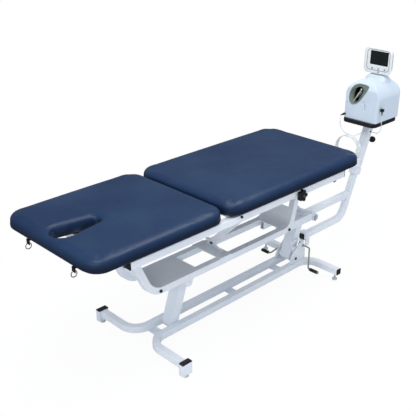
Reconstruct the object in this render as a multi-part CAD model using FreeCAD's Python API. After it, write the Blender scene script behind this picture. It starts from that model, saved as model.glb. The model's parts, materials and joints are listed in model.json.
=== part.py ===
import FreeCAD, Part
import math
import os

# Two-section treatment table on a crank lift, with a traction unit on a leaning mast.
# Millimetres. X runs along the table towards the mast, Y to the far side, Z up.
# The pieces are drawn from the head end of the table and centred on the floor when saved.

V = FreeCAD.Vector
UP = V(0, 0, 1)
AWAY = V(0, 1, 0)
ALONG = V(1, 0, 0)

# Tubes, sheets and fits
tube = 36.0
tube_wall = 2.0
tube_corner = 3.0
fit_gap = 0.05
soft_gap = 0.3
side_gap = 0.4
overrun = 3.0
tiny = 0.001

# Cushions and boards
head_length = 757.0
cushion_gap = 8.0
lumbar_length = 1043.0
top_width = 690.0
cushion_height = 61.5
cushion_corner = 96.0
cushion_tuck = 9.0
level_height_shares = [0.0, 0.28, 0.6, 0.84, 0.95, 1.0]
level_inset_shares = [1.0, 0.3, 0.05, 0.85, 2.6, 8.0]
level_corner_shares = [0.87, 0.96, 1.0, 0.94, 0.8, 0.45]
board_inset = 25.0
head_board_height = 11.0
slider_height = 3.0
slider_length = 60.0
slider_starts = [950.0, 1350.0]

# Face slot in the head cushion
slot_start = 45.0
slot_length = 239.0
slot_wide_radius = 52.0
slot_tip_radius = 24.0
slot_lip = 14.0

# Top rails
rail_bottom = 679.0
rail_start = 203.0
rail_end = 1661.0
rail_overhang = 24.0
head_bar_x = 206.0
brace_bar_x = 862.0
stop_x = 855.0
stop_radius = 6.0
stop_height = 7.0
stop_drop = 8.0

# Base
base_spread = 110.0
base_bottom = 40.5
base_bend = 90.0
foot_head_x = 490.0
foot_mast_x = 1728.0
foot_head_reach = 323.0
foot_mast_reach = 290.0
post_length = 60.0
post_width = 30.0
post_bottom = 14.0
post_height = 62.0
post_floor = 5.0
cap_height = 4.0
cap_stem = 14.0
glide_radius = 15.0
glide_foot = 6.0
glide_neck = 11.0
glide_stem_radius = 5.0
glide_stem_length = 24.0
glide_inset = 22.0
tie_places = [590.0, 1143.0, 1520.0]
tie_width = 50.0

# Lift arms and pivots
arm_width = 70.0
arm_depth = 46.0
arm_wall = 3.0
arm_lean = 18.0
arm_length = 243.0
head_pivot_x = 678.0
mast_pivot_x = 1608.0
mast_pivot_z = 104.0
pivot_radius = 8.0
pivot_tube_wall = 5.0
bolt_head_radius = 12.0
bolt_head_height = 7.0
washer_radius = 15.0
big_washer_radius = 21.0
washer_height = 2.5
gusset = 6.0
gusset_spread = 110.0
gusset_reach_head = 46.0
gusset_reach_mast = 38.0
gusset_shoulder = 24.0
gusset_crest = 15.0
gusset_round = 9.0
lug = 5.0
lug_top_width = 74.0
lug_foot = 17.0
beam_width = 26.0
beam_height = 47.0
beam_start = 1440.0
beam_wall = 3.0

# Crank, pinion and toothed quadrant
gear_module = 2.5
pinion_teeth = 12
quadrant_teeth = 84
gear_face = 6.0
gear_inset = 3.0
pressure_angle = 20.0
backlash = 0.35
pinion_top_share = 0.8
quadrant_top_share = 0.6
tooth_root_share = 1.1
crank_rise = 68.0
lift_travel = 38.0
quadrant_run_on = 12.0
quadrant_end = 4.0
quadrant_rim = 6.2
quadrant_slot_clear = 3.0
quadrant_hub = 22.0
stud_radius = 6.0
stud_reach = 52.0
crank_rod_radius = 4.5
crank_plane = 118.0
crank_throw = 138.0
crank_bend = 10.0
boss_radius = 9.5
boss_length = 12.0
collar_height = 2.5
collar_extra = 4.0
grip_radius = 10.2
grip_length = 56.0
grip_gap = 0.08

# Release pedal on the far side
pedal_x = 1690.0
pedal_z = 88.0
pedal_throw = 97.0
pedal_drop = 12.0
pedal_bend = 12.0
pedal_sleeve_length = 50.0

# Under-frame
mid_spread = 176.0
mid_bottom = 333.0
mid_head_x = 485.0
mid_mast_x = 1500.0
mid_head_top_x = 334.0
mid_mast_top_x = 1580.0
mid_head_bend = 110.0
mid_mast_bend = 75.0
pan_height = 3.0
pan_head_edge = 790.0
pan_mast_edge = 1460.0
pan_head_top = 600.0
pan_mast_top = 470.0
deck_start = 938.0
deck_length = 81.0
deck_height = 4.0
stay_width = 34.0
stay_height = 5.0
stay_foot_x = 1000.0
stay_foot_y = 45.0
stay_top_inset = 8.0
mid_bolt_places = [535.0, 1483.0]
mid_bolt_radius = 8.0
mid_bolt_height = 5.0

# Mast
mast_lean = 22.0
mast_ref_x = 2252.0
mast_ref_z = 480.0
mast_low_start = 1744.0
mast_low_z = 180.0
mast_bend = 80.0
mast_low_top = 650.0
brace_z = 326.0
cross_tube_x = 1760.0
cross_tube_radius = 22.5
cross_tube_wall = 3.0
cross_tube_length = 160.0
clamp_start = 1752.0
clamp_length = 36.0
clamp_drop = 63.0
clamp_wall = 6.0
sleeve_side = 46.0
sleeve_bottom = 486.0
collar_bottom = 450.0
collar_side = 54.0
sleeve_flange = 84.0
sleeve_flange_height = 5.0
thumb_z = 519.0
mast_knob_z = 668.0
mast_nut_radius = 11.0
mast_nut_height = 10.0
knob_stem_radius = 5.0
knob_stem_length = 48.0
round_knob_radius = 19.0
round_knob_height = 20.0

# Lock knob on the near rail
lock_x = 1287.0
lock_rise = 9.0
lock_lobes = 5
lock_lobe_ring = 21.5
lock_lobe_radius = 10.0
lock_hub_radius = 15.0
lock_height = 20.0
lock_neck = 3.0
lock_stud_length = 34.0

# Harness tabs and rings
ring_places = [-187.0, 154.0]
tab_width = 24.0
tab_length = 40.0
tab_sheet = 3.0
tab_front = 16.0
tab_drop = 24.0
tab_hole_edge = 8.0
ring_radius = 14.0
ring_wire = 2.2
ring_hole_radius = 3.6

# Tray
tray_start = 2227.0
tray_length = 254.0
tray_width = 234.0
tray_bottom = 769.0
tray_height = 25.0
tray_corner = 34.0
tray_edge = 5.0

# Traction unit
unit_start = 2240.0
unit_length = 260.0
unit_width = 240.0
unit_height = 252.0
unit_corner = 26.0
unit_draft = 5.0
dome_shoulder_share = 0.58
dome_across_share = 0.66
dome_mid_share = 0.86
end_shoulder_share = 0.76
end_mid_share = 0.945
window_ys = [82.0, -32.0, -45.0, 42.0, 74.0]
window_zs = [998.0, 1008.0, 976.0, 896.0, 896.0]
window_rounds = [30.0, 20.0, 18.0, 20.0, 20.0]
window_depth = 74.0
window_rim_width = 7.0
window_rim_proud = 3.0
pulley_y = 35.0
pulley_z = 945.0
pulley_setback = 44.0
pulley_radius = 26.0
pulley_width = 12.0
pulley_groove = 3.4
pulley_axle_radius = 4.0
cheek_radius = 8.0
cheek = 3.0
rope_radius = 2.5
rope_up = 46.0
rope_down = 60.0
rope_slope = 59.1

# Display pod
pod_front = 2385.0
pod_half = 97.0
pod_bottom = 1060.0
pod_height = 155.0
pod_depth = 46.0
pod_corner = 30.0
pod_taper = 18.0
pod_bezel = 4.0
pod_hinge_x = 2408.0
pod_hinge_z = 1072.0
pod_barrel_radius = 9.0
pod_barrel_length = 60.0
pod_pin_radius = 4.0
pod_pin_length = 9.0
pod_knuckle = 8.0
pod_slot_front = 10.0
pod_slot_height = 26.0
screen_width = 126.0
screen_height = 84.0
screen_rise = 53.0
screen_offset = -10.0
screen_depth = 3.0
screen_corner = 5.0
button_radius = 5.5
button_length = 6.0
button_pocket = 8.0
button_proud = 2.2
button_gap = 0.1
button_edge = 1.0
button_pad = 43.5
button_row = 30.5
button_low_row = 11.0

# Leads, plugs and the hand switch
lead_radius = 2.6
coil_radius = 82.0
coil_pitch = 6.2
coil_turns = 5.5
samples_each_half = 40
sample_step = 4
coil_x = 2165.0
coil_z = 640.0
plug_y = 106.0
plug_z = 817.0
plug_radius = 7.0
plug_length = 17.0
relief_radius = 4.2
relief_length = 8.0
hook_wire = 2.0
hook_bend = 9.0
hook_root_z = 697.0
hook_tip = 20.0
hook_past = 8.0
switch_drop = 62.0
switch_y = 66.0
switch_back = 4.0
switch_radius = 13.0
switch_length = 80.0
switch_round = 4.0
switch_button_radius = 6.0
switch_button_length = 12.0
switch_button_pocket = 8.4
side_lead_radius = 2.0
port_x = 2279.0
port_z = 888.0
port_length = 52.0
port_height = 40.0
port_depth = 5.0
port_plug_side = 18.0
port_plug_reach = 19.0
gland_radius = 5.0
gland_height = 4.0
gland_z = 706.0
bend_share = 0.45
least_diameters = 3.0
# Offsets of each lead's corners from the face it leaves, and from the face it reaches.
top_lead_out = [(0, 0, 0), (-30, 0, -2), (-38, -4, -45), (-34, -20, -88)]
top_lead_last = 40.0
tail_lead_first = 32.0
tail_lead_turn = (-3, 61, -18)
tail_lead_last = 28.0
side_lead_out = [(0, 0, 0), (1, -1, -32), (4, -1, -72), (12, 4, -112)]
side_lead_in = [(-36, -72, 14), (0, -38, 0), (0, 0, 0)]

overall_length = unit_start + unit_length
rail_top = rail_bottom + tube
board_top = rail_top + head_board_height
cushion_bottom = board_top + soft_gap
cushion_top = cushion_bottom + cushion_height
half_top = top_width / 2
half_base = base_spread / 2
half_mid = mid_spread / 2
half_tube = tube / 2
half_rail = half_top - rail_overhang - half_tube
stay_top_y = half_rail - stay_top_inset
half_arm = arm_width / 2
base_top = base_bottom + tube
mid_top = mid_bottom + tube
lumbar_start = head_length + cushion_gap
lumbar_end = lumbar_start + lumbar_length
head_pivot_z = base_bottom + half_tube
lean_sin = math.sin(math.radians(arm_lean))
lean_cos = math.cos(math.radians(arm_lean))
arm_run = arm_length * lean_sin
arm_rise = arm_length * lean_cos
gear_distance = gear_module * (quadrant_teeth - pinion_teeth) / 2
crank_x = mast_pivot_x + math.sqrt(gear_distance ** 2 - crank_rise ** 2)
crank_z = mast_pivot_z + crank_rise
crank_angle = math.atan2(crank_rise, crank_x - mast_pivot_x)
gusset_inner = (gusset_spread - gusset) / 2
gusset_outer = gusset_inner + gusset
gear_plane = gusset_inner - gear_inset - gear_face
inner_mid = half_mid - half_tube
beam_inner = inner_mid - beam_width
mast_sin = math.sin(math.radians(mast_lean))
mast_cos = math.cos(math.radians(mast_lean))
mast_axis = V(mast_sin, 0, mast_cos)
mast_side = V(mast_cos, 0, -mast_sin)
tray_top = tray_bottom + tray_height
unit_top = tray_top + unit_height


def save(name, shape):
    """Centre one piece on the floor under the whole object and write it."""
    placed = shape.copy()
    placed.translate(V(-overall_length / 2, 0, 0))
    placed.exportStep("parts/" + name + ".step")


def rod(start, axis, radius, length):
    return Part.makeCylinder(radius, length, start, axis)


def block(x0, x1, y0, y1, z0, z1):
    return Part.makeBox(x1 - x0, y1 - y0, z1 - z0, V(x0, y0, z0))


def mirrored(shape):
    return shape.mirror(V(0, 0, 0), AWAY)


def both(shape):
    return Part.makeCompound([shape, mirrored(shape)])


def corner(before, point, after, radius):
    """The tangent arc that rounds a corner: its start, middle and end."""
    into = (point - before).normalize()
    out = (after - point).normalize()
    half_turn = into.getAngle(out) / 2
    reach = radius * math.tan(half_turn)
    inward = (out - into).normalize()
    middle = point + inward * (radius / math.cos(half_turn) - radius)
    return point - into * reach, middle, point + out * reach


def rounded_path(points, radii):
    """Straight runs through the points, joined by tangent arcs."""
    edges = []
    last = points[0]
    for before, point, after, radius in zip(points, points[1:], points[2:], radii):
        start, middle, end = corner(before, point, after, radius)
        if last.distanceToPoint(start) > tiny:
            edges.append(Part.LineSegment(last, start).toShape())
        edges.append(Part.Arc(start, middle, end).toShape())
        last = end
    edges.append(Part.LineSegment(last, points[-1]).toShape())
    return Part.Wire(edges)


def outline(points, radii):
    """A closed outline through the points with each corner rounded by its radius."""
    count = len(points)
    turns = []
    for i in range(count):
        turns.append(corner(points[i - 1], points[i], points[(i + 1) % count], radii[i]))
    edges = []
    for i in range(count):
        start, middle, end = turns[i]
        if radii[i] > 0:
            edges.append(Part.Arc(start, middle, end).toShape())
        follow = turns[(i + 1) % count][0]
        if end.distanceToPoint(follow) > tiny:
            edges.append(Part.LineSegment(end, follow).toShape())
    return Part.Wire(edges)


def upright(points, radii, y, height):
    """A sheet with its outline in X and Z, from y towards the far side."""
    wire = outline([V(x, y, z) for x, z in points], radii)
    return Part.Face(wire).extrude(AWAY * height)


def section(centre, tangent, side_axis, side_u, side_w, round_radius):
    """A rounded rectangle square to the tangent, side_u wide along side_axis."""
    u = V(side_axis).normalize() * (side_u / 2)
    w = V(tangent).normalize().cross(V(side_axis).normalize()) * (side_w / 2)
    points = [centre + u + w, centre - u + w, centre - u - w, centre + u - w]
    return outline(points, [round_radius] * len(points))


def plan(x0, x1, y0, y1, z, round_radius):
    points = [V(x0, y0, z), V(x1, y0, z), V(x1, y1, z), V(x0, y1, z)]
    return outline(points, [round_radius] * len(points))


def bent_tube(points, radii, side_axis):
    """A hollow square tube bent along the points."""
    path = rounded_path(points, radii)
    tangent = points[1] - points[0]
    inner_side = tube - 2 * tube_wall
    outer = section(points[0], tangent, side_axis, tube, tube, tube_corner)
    bore = section(points[0], tangent, side_axis, inner_side, inner_side, tube_corner - tube_wall)
    return path.makePipeShell([outer], True, False).cut(path.makePipeShell([bore], True, False))


def straight_tube(start, end, side_axis, side_u=tube, side_w=tube, wall=tube_wall):
    run = end - start
    outer = section(start, run, side_axis, side_u, side_w, tube_corner)
    bore = section(start, run, side_axis, side_u - 2 * wall, side_w - 2 * wall, tube_corner / 2)
    return Part.Face(outer).extrude(run).cut(Part.Face(bore).extrude(run))


def tube_plug(mouth, outward):
    """A push-in end cap: a head over the tube's edge and a stem inside it."""
    axis = V(outward).normalize()
    across = UP if abs(axis.y) > 0 else AWAY
    stem_side = tube - 2 * tube_wall - 2 * fit_gap
    head = section(mouth, axis, across, tube, tube, tube_corner)
    stem = section(mouth, axis, across, stem_side, stem_side, tube_corner / 2)
    return Part.Face(head).extrude(axis * cap_height).fuse(Part.Face(stem).extrude(axis * -cap_stem))


def pin(point, reach):
    """A pivot pin across the table, flush with the faces it passes through."""
    return rod(point - AWAY * reach, AWAY, pivot_radius, 2 * reach)


def bolt(point, reach, radius, head_washer):
    """A bolt across the table with a washer and a head at each end."""
    shape = rod(point - AWAY * reach, AWAY, radius, 2 * reach)
    for side in (-1, 1):
        seat = point + AWAY * (side * reach)
        head = seat + AWAY * (side * washer_height)
        shape = shape.fuse(rod(seat, AWAY * side, head_washer, washer_height))
        shape = shape.fuse(rod(head, AWAY * side, bolt_head_radius, bolt_head_height))
    return shape


def post_outline(z, inset):
    return plan(foot_head_x - post_length / 2 + inset, foot_head_x + post_length / 2 - inset,
                -foot_head_reach - post_width / 2 + inset, -foot_head_reach + post_width / 2 - inset,
                z, tube_corner - inset / 2)


def base_rails():
    """Two long tubes bent outward at both ends; the head-end feet end in upright posts."""
    z = base_bottom + half_tube
    points = [V(foot_head_x, -foot_head_reach + post_width / 2, z), V(foot_head_x, -half_base, z),
              V(foot_mast_x, -half_base, z), V(foot_mast_x, -foot_mast_reach, z)]
    rail = bent_tube(points, [base_bend, base_bend], UP)
    through = rod(V(head_pivot_x, -half_base - tube, head_pivot_z), AWAY, pivot_radius + fit_gap, 2 * tube)
    post = Part.Face(post_outline(post_bottom, 0)).extrude(UP * post_height)
    hollow = Part.Face(post_outline(post_bottom + post_floor, tube_wall)).extrude(UP * post_height)
    stem = rod(V(foot_head_x, -foot_head_reach, 0), UP, glide_stem_radius + fit_gap, post_height)
    reach = foot_mast_reach - glide_inset
    floor_hole = rod(V(foot_mast_x, -reach, 0), UP, glide_stem_radius + fit_gap, base_bottom + half_tube)
    rail = rail.cut(through).cut(floor_hole).fuse(post.cut(hollow).cut(stem))
    save("base_rail_near", rail)
    save("base_rail_far", mirrored(rail))
    top = post_bottom + post_height
    head = Part.Face(post_outline(top, 0)).extrude(UP * cap_height)
    cap = head.fuse(Part.Face(post_outline(top, tube_wall + fit_gap)).extrude(UP * -cap_stem))
    side_cap = tube_plug(V(foot_mast_x, -foot_mast_reach, z), -AWAY)
    save("foot_caps", both(Part.makeCompound([cap, side_cap])))


def glides():
    """Four levelling glides, each a foot on a threaded stem."""
    reach = foot_mast_reach - glide_inset
    places = [("head_near", foot_head_x, -foot_head_reach), ("head_far", foot_head_x, foot_head_reach),
              ("mast_near", foot_mast_x, -reach), ("mast_far", foot_mast_x, reach)]
    for name, x, y in places:
        foot = rod(V(x, y, 0), UP, glide_radius, glide_foot)
        neck = Part.makeCone(glide_radius, glide_neck / 2, glide_foot / 2, V(x, y, glide_foot), UP)
        stem = rod(V(x, y, glide_foot), UP, glide_stem_radius, post_bottom + glide_stem_length)
        save("glide_" + name, foot.fuse(neck).fuse(stem))


def base_brackets():
    """Flat ties between the rails and the two plates that carry the mast-end pivot."""
    ties = []
    for x in tie_places:
        ties.append(block(x - tie_width / 2, x + tie_width / 2, -half_base + half_tube, half_base - half_tube,
                          base_bottom, base_bottom + gusset))
    x = mast_pivot_x
    right = crank_x + gusset_reach_mast
    points = [(x - gusset_reach_head, base_top), (right, base_top), (right, mast_pivot_z + gusset_shoulder),
              (crank_x + gusset_crest, crank_z + gusset_crest), (crank_x - gusset_crest, crank_z + gusset_crest),
              (x - gusset_shoulder, mast_pivot_z + gusset_shoulder)]
    radii = [0, 0, gusset_round, gusset_round, gusset_round, gusset_shoulder / 2]
    sheet = upright(points, radii, -gusset_outer, gusset)
    hole = rod(V(x, -gusset_outer - overrun, mast_pivot_z), AWAY, pivot_radius + fit_gap, gusset + 2 * overrun)
    sheet = sheet.cut(hole)
    boss = rod(V(crank_x, -gusset_outer, crank_z), -AWAY, boss_radius, boss_length)
    near = sheet.fuse(boss)
    near = near.cut(rod(V(crank_x, 0, crank_z), -AWAY, crank_rod_radius + fit_gap, crank_plane))
    far = mirrored(sheet)
    far = far.cut(rod(V(pedal_x, 0, pedal_z), AWAY, crank_rod_radius + fit_gap, crank_plane))
    save("base_brackets", Part.makeCompound([near, far] + ties))
    low = pin(V(head_pivot_x, 0, head_pivot_z), half_base + half_tube)
    high = bolt(V(mast_pivot_x, 0, mast_pivot_z), gusset_outer, pivot_radius, big_washer_radius)
    save("lower_bolts", Part.makeCompound([low, high]))


def arm_outline(foot, half_width, radius):
    lean = V(lean_sin, 0, lean_cos)
    side = V(lean_cos, 0, -lean_sin)
    base = foot - AWAY * half_width
    tip = base + lean * arm_length
    edges = [Part.LineSegment(base + side * radius, tip + side * radius).toShape(),
             Part.Arc(tip + side * radius, tip + lean * radius, tip - side * radius).toShape(),
             Part.LineSegment(tip - side * radius, base - side * radius).toShape(),
             Part.Arc(base - side * radius, base - lean * radius, base + side * radius).toShape()]
    return Part.Face(Part.Wire(edges)).extrude(AWAY * (2 * half_width))


def lift_arm(foot, low_half, high_half):
    """A leaning rectangular tube with a round cross tube at each pivot."""
    tip = foot + V(arm_run, 0, arm_rise)
    shape = arm_outline(foot, half_arm, arm_depth / 2)
    shape = shape.cut(arm_outline(foot, half_arm - arm_wall, arm_depth / 2 - arm_wall))
    for end, half in ((foot, low_half), (tip, high_half)):
        shape = shape.fuse(rod(end - AWAY * half, AWAY, pivot_radius + pivot_tube_wall, 2 * half))
    for end, half in ((foot, low_half), (tip, high_half)):
        shape = shape.cut(rod(end - AWAY * half, AWAY, pivot_radius + fit_gap, 2 * half))
    return shape


def lift_arms():
    base_inner = half_base - half_tube
    save("lift_arm_head", lift_arm(V(head_pivot_x, 0, head_pivot_z), base_inner - side_gap,
                                   inner_mid - lug - side_gap))
    save("lift_arm_mast", lift_arm(V(mast_pivot_x, 0, mast_pivot_z), gusset_inner - side_gap,
                                   beam_inner - side_gap))


def involute(base_radius, radius):
    """The polar angle of an involute at one radius."""
    turn = math.sqrt(max((radius / base_radius) ** 2 - 1, 0))
    return turn - math.atan(turn)


def teeth_points(teeth, first, count, low, high, ease):
    """Radius and angle of the corners of count involute teeth, the first centred at first."""
    pitch_radius = gear_module * teeth / 2
    base_radius = pitch_radius * math.cos(math.radians(pressure_angle))
    half_tooth = math.pi / (2 * teeth) + ease / (2 * pitch_radius) + involute(base_radius, pitch_radius)
    start = max(base_radius, low)
    steps = 3
    flank = [start + (high - start) * k / steps for k in range(steps + 1)]
    side = [(radius, half_tooth - involute(base_radius, radius)) for radius in flank]
    if start > low:
        side = [(low, side[0][1])] + side
    points = []
    for n in range(count):
        middle = first + 2 * math.pi * n / teeth
        points += [(radius, middle - offset) for radius, offset in side]
        points += [(radius, middle + offset) for radius, offset in reversed(side)]
    return points


def around(centre, y, radius, angle):
    return V(centre.x + radius * math.cos(angle), y, centre.z + radius * math.sin(angle))


def arc_about(centre, y, radius, start, end):
    middle = (start + end) / 2
    return Part.Arc(around(centre, y, radius, start), around(centre, y, radius, middle),
                    around(centre, y, radius, end)).toShape()


def quadrant():
    """The plate on the mast-end arm, with a curved window toothed along its outer edge."""
    centre = V(mast_pivot_x, 0, mast_pivot_z)
    y = -gear_plane
    pitch_radius = gear_module * quadrant_teeth / 2
    tip = pitch_radius - quadrant_top_share * gear_module
    root = pitch_radius + tooth_root_share * gear_module
    pinion_tip = gear_module * (pinion_teeth / 2 + pinion_top_share)
    floor = gear_distance - pinion_tip - quadrant_slot_clear
    low = crank_angle - math.radians(quadrant_run_on)
    high = crank_angle + math.radians(lift_travel + quadrant_run_on)
    pitch = 2 * math.pi / quadrant_teeth
    before = int((crank_angle - low - pitch / 2) / pitch)
    count = before + int((high - crank_angle - pitch / 2) / pitch) + 1
    spaces = teeth_points(quadrant_teeth, crank_angle - before * pitch, count, tip, root, backlash)
    corners = [around(centre, y, radius, angle) for radius, angle in spaces]
    chain = [around(centre, y, floor, low), around(centre, y, tip, low)] + corners
    chain += [around(centre, y, tip, high), around(centre, y, floor, high)]
    edges = [Part.LineSegment(a, b).toShape() for a, b in zip(chain, chain[1:])]
    edges.append(arc_about(centre, y, floor, high, low))
    window = Part.Face(Part.Wire(edges)).extrude(-AWAY * gear_face)
    rim = root + quadrant_rim
    low -= math.radians(quadrant_end)
    high += math.radians(quadrant_end)
    hub = V(centre.x, y, centre.z)
    outer = [Part.LineSegment(hub, around(centre, y, rim, low)).toShape(), arc_about(centre, y, rim, low, high),
             Part.LineSegment(around(centre, y, rim, high), hub).toShape()]
    plate = Part.Face(Part.Wire(outer)).extrude(-AWAY * gear_face)
    plate = plate.fuse(rod(hub, -AWAY, quadrant_hub, gear_face)).cut(window)
    stud_start = centre + V(lean_sin, 0, lean_cos) * stud_reach - AWAY * half_arm
    plate = plate.fuse(rod(stud_start, -AWAY, stud_radius, gear_plane - half_arm + gear_face / 2))
    save("lift_quadrant", plate.cut(rod(centre, -AWAY, pivot_radius + pivot_tube_wall, gusset_outer)))


def crank():
    """The bent crank rod with its pinion, and the grip that turns on its end."""
    start = V(crank_x, -gear_plane + side_gap, crank_z)
    corner_point = V(crank_x, -crank_plane, crank_z)
    elbow = corner_point - UP * crank_throw
    grip_start = elbow - AWAY * (crank_bend + collar_height)
    end = grip_start - AWAY * (grip_length + 2 * side_gap)
    path = rounded_path([start, corner_point, elbow, end], [crank_bend, crank_bend])
    wire = Part.Wire(Part.makeCircle(crank_rod_radius, start, AWAY))
    shape = path.makePipeShell([wire], True, False)
    collar_radius = crank_rod_radius + collar_extra
    shape = shape.fuse(rod(elbow - AWAY * crank_bend, -AWAY, collar_radius, collar_height))
    shape = shape.fuse(rod(end, -AWAY, collar_radius, collar_height))
    bearing_end = V(crank_x, -gusset_outer - boss_length - side_gap, crank_z)
    shape = shape.fuse(rod(bearing_end, -AWAY, collar_radius, collar_height))
    centre = V(crank_x, 0, crank_z)
    low = gear_module * (pinion_teeth / 2 - tooth_root_share)
    high = gear_module * (pinion_teeth / 2 + pinion_top_share)
    corners = teeth_points(pinion_teeth, crank_angle, pinion_teeth, low, high, 0)
    points = [around(centre, -gear_plane, radius, angle) for radius, angle in corners]
    pinion = Part.Face(Part.makePolygon(points + points[:1])).extrude(-AWAY * gear_face)
    save("crank_rod", shape.fuse(pinion))
    seat = grip_start - AWAY * side_gap
    grip = rod(seat, -AWAY, grip_radius, grip_length)
    grip = grip.makeFillet(tube_wall, [grip.Edges[0], grip.Edges[2]])
    save("crank_grip", grip.cut(rod(seat, -AWAY, crank_rod_radius + grip_gap, grip_length)))


def pedal():
    """The release pedal: a bent rod on the far plate with a sleeve on its foot end."""
    collar_radius = crank_rod_radius + collar_extra
    start = V(pedal_x, gusset_inner - side_gap - collar_height, pedal_z)
    corner_point = V(pedal_x, crank_plane, pedal_z)
    elbow = corner_point - ALONG * pedal_throw - UP * pedal_drop
    sleeve_start = elbow + AWAY * pedal_bend
    end = sleeve_start + AWAY * pedal_sleeve_length
    path = rounded_path([start, corner_point, elbow, end], [pedal_bend, pedal_bend])
    wire = Part.Wire(Part.makeCircle(crank_rod_radius, start, AWAY))
    lever = path.makePipeShell([wire], True, False)
    lever = lever.fuse(rod(start, AWAY, collar_radius, collar_height))
    lever = lever.fuse(rod(V(pedal_x, gusset_outer + side_gap, pedal_z), AWAY, collar_radius, collar_height))
    save("pedal_lever", lever)
    sleeve = rod(sleeve_start, AWAY, grip_radius, pedal_sleeve_length + collar_height)
    save("pedal_sleeve", sleeve.cut(rod(sleeve_start, AWAY, crank_rod_radius, pedal_sleeve_length)))


def mid_points(y, z):
    """Corners of an under-frame line at height z, with both ends run up past the top rails."""
    climb = rail_bottom - mid_bottom - half_tube
    head_slope = (mid_head_x - mid_head_top_x) / climb
    mast_slope = (mid_mast_top_x - mid_mast_x) / climb
    above = rail_bottom + half_tube
    rise = above - z
    return [V(mid_head_x - rise * head_slope, y, above), V(mid_head_x, y, z), V(mid_mast_x, y, z),
            V(mid_mast_x + rise * mast_slope, y, above)]


def mid_rails():
    """Two under-frame tubes that sweep up to the cross bars at both ends."""
    points = mid_points(-half_mid, mid_bottom + half_tube)
    rail = bent_tube(points, [mid_head_bend, mid_mast_bend], AWAY)
    above = block(points[0].x - tube, points[-1].x + tube, -half_mid - tube, -half_mid + tube,
                  rail_bottom, rail_top + tube)
    rail = rail.cut(above)
    save("mid_rail_near", rail)
    save("mid_rail_far", mirrored(rail))


def pan(points, radius):
    """A sheet between the under-frame tubes that follows their bend."""
    half = inner_mid - fit_gap
    path = rounded_path([V(p.x, -half, p.z) for p in points], [radius])
    tangent = (points[1] - points[0]).normalize()
    normal = tangent.cross(AWAY)
    start = V(points[0].x, -half, points[0].z)
    low = start - normal * (pan_height / 2)
    high = start + normal * (pan_height / 2)
    across = AWAY * (2 * half)
    wire = Part.makePolygon([low, high, high + across, low + across, low])
    return path.makePipeShell([wire], True, False)


def pans():
    drop = half_tube - pan_height / 2
    z = mid_top - pan_height / 2
    line = mid_points(0, mid_bottom + half_tube)
    head_lean = (line[0] - line[1]).normalize()
    mast_up = (line[3] - line[2]).normalize()
    head_half = (-ALONG).getAngle(head_lean) / 2
    mast_half = ALONG.getAngle(mast_up) / 2
    head_corner = V(line[1].x + drop * math.tan(head_half), 0, z)
    mast_corner = V(line[2].x - drop * math.tan(mast_half), 0, z)
    head_top = head_corner + head_lean * ((pan_head_top - z) / head_lean.z)
    mast_top = mast_corner + mast_up * ((pan_mast_top - z) / mast_up.z)
    mast_edge = V(min(pan_mast_edge, mast_corner.x - mid_mast_bend * math.tan(mast_half)), 0, z)
    save("pan_head", pan([V(pan_head_edge, 0, z), head_corner, head_top], mid_head_bend - drop))
    save("pan_mast", pan([mast_edge, mast_corner, mast_top], mid_mast_bend - drop))


def stay(side):
    """One flat bar of the cross, in the leaning plane from the deck up to the top rails."""
    foot_z = mid_top + deck_height
    slope = V(brace_bar_x - stay_foot_x, 0, rail_bottom - foot_z).normalize()
    normal = AWAY.cross(slope) * side
    foot = V(stay_foot_x, side * stay_foot_y, foot_z)
    top = V(brace_bar_x, -side * stay_top_y, rail_bottom)
    run = (top - foot).normalize()
    low = foot - run * stay_width
    high = top + run * stay_width
    across = normal.cross(run).normalize() * (stay_width / 2)
    wire = Part.makePolygon([low - across, high - across, high + across, low + across, low - across])
    bar = Part.Face(wire).extrude(normal * stay_height)
    below = block(stay_foot_x - 2 * tube, stay_foot_x + 2 * tube, -half_rail, half_rail, foot_z - 2 * tube, foot_z)
    above = block(brace_bar_x - 2 * tube, brace_bar_x + 2 * tube, -half_top, half_top, rail_bottom,
                  rail_top + tube)
    return bar.cut(below).cut(above)


def cross_support():
    """A flat deck on the under-frame and the crossed stays above it, bolted where they cross."""
    half = half_mid + half_tube
    save("cross_deck", block(deck_start, deck_start + deck_length, -half, half, mid_top, mid_top + deck_height))
    save("cross_stays", Part.makeCompound([stay(1), stay(-1)]))
    bolts = []
    for x in mid_bolt_places:
        bolts.append(both(rod(V(x, -half, mid_bottom + half_tube), -AWAY, mid_bolt_radius, mid_bolt_height)))
    foot_z = mid_top + deck_height
    slope = V(brace_bar_x - stay_foot_x, 0, rail_bottom - foot_z)
    crossing = V(stay_foot_x, 0, foot_z) + slope * (stay_foot_y / (stay_foot_y + stay_top_y))
    normal = AWAY.cross(V(slope).normalize())
    for side in (-1, 1):
        seat = crossing + normal * (side * stay_height)
        bolts.append(rod(seat, normal * side, mid_bolt_radius, mid_bolt_height))
    head = V(head_pivot_x + arm_run, 0, head_pivot_z + arm_rise)
    mast_end = V(mast_pivot_x + arm_run, 0, mast_pivot_z + arm_rise)
    bolts.append(pin(head, inner_mid))
    bolts.append(pin(mast_end, inner_mid))
    save("frame_bolts", Part.makeCompound(bolts))


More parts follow.
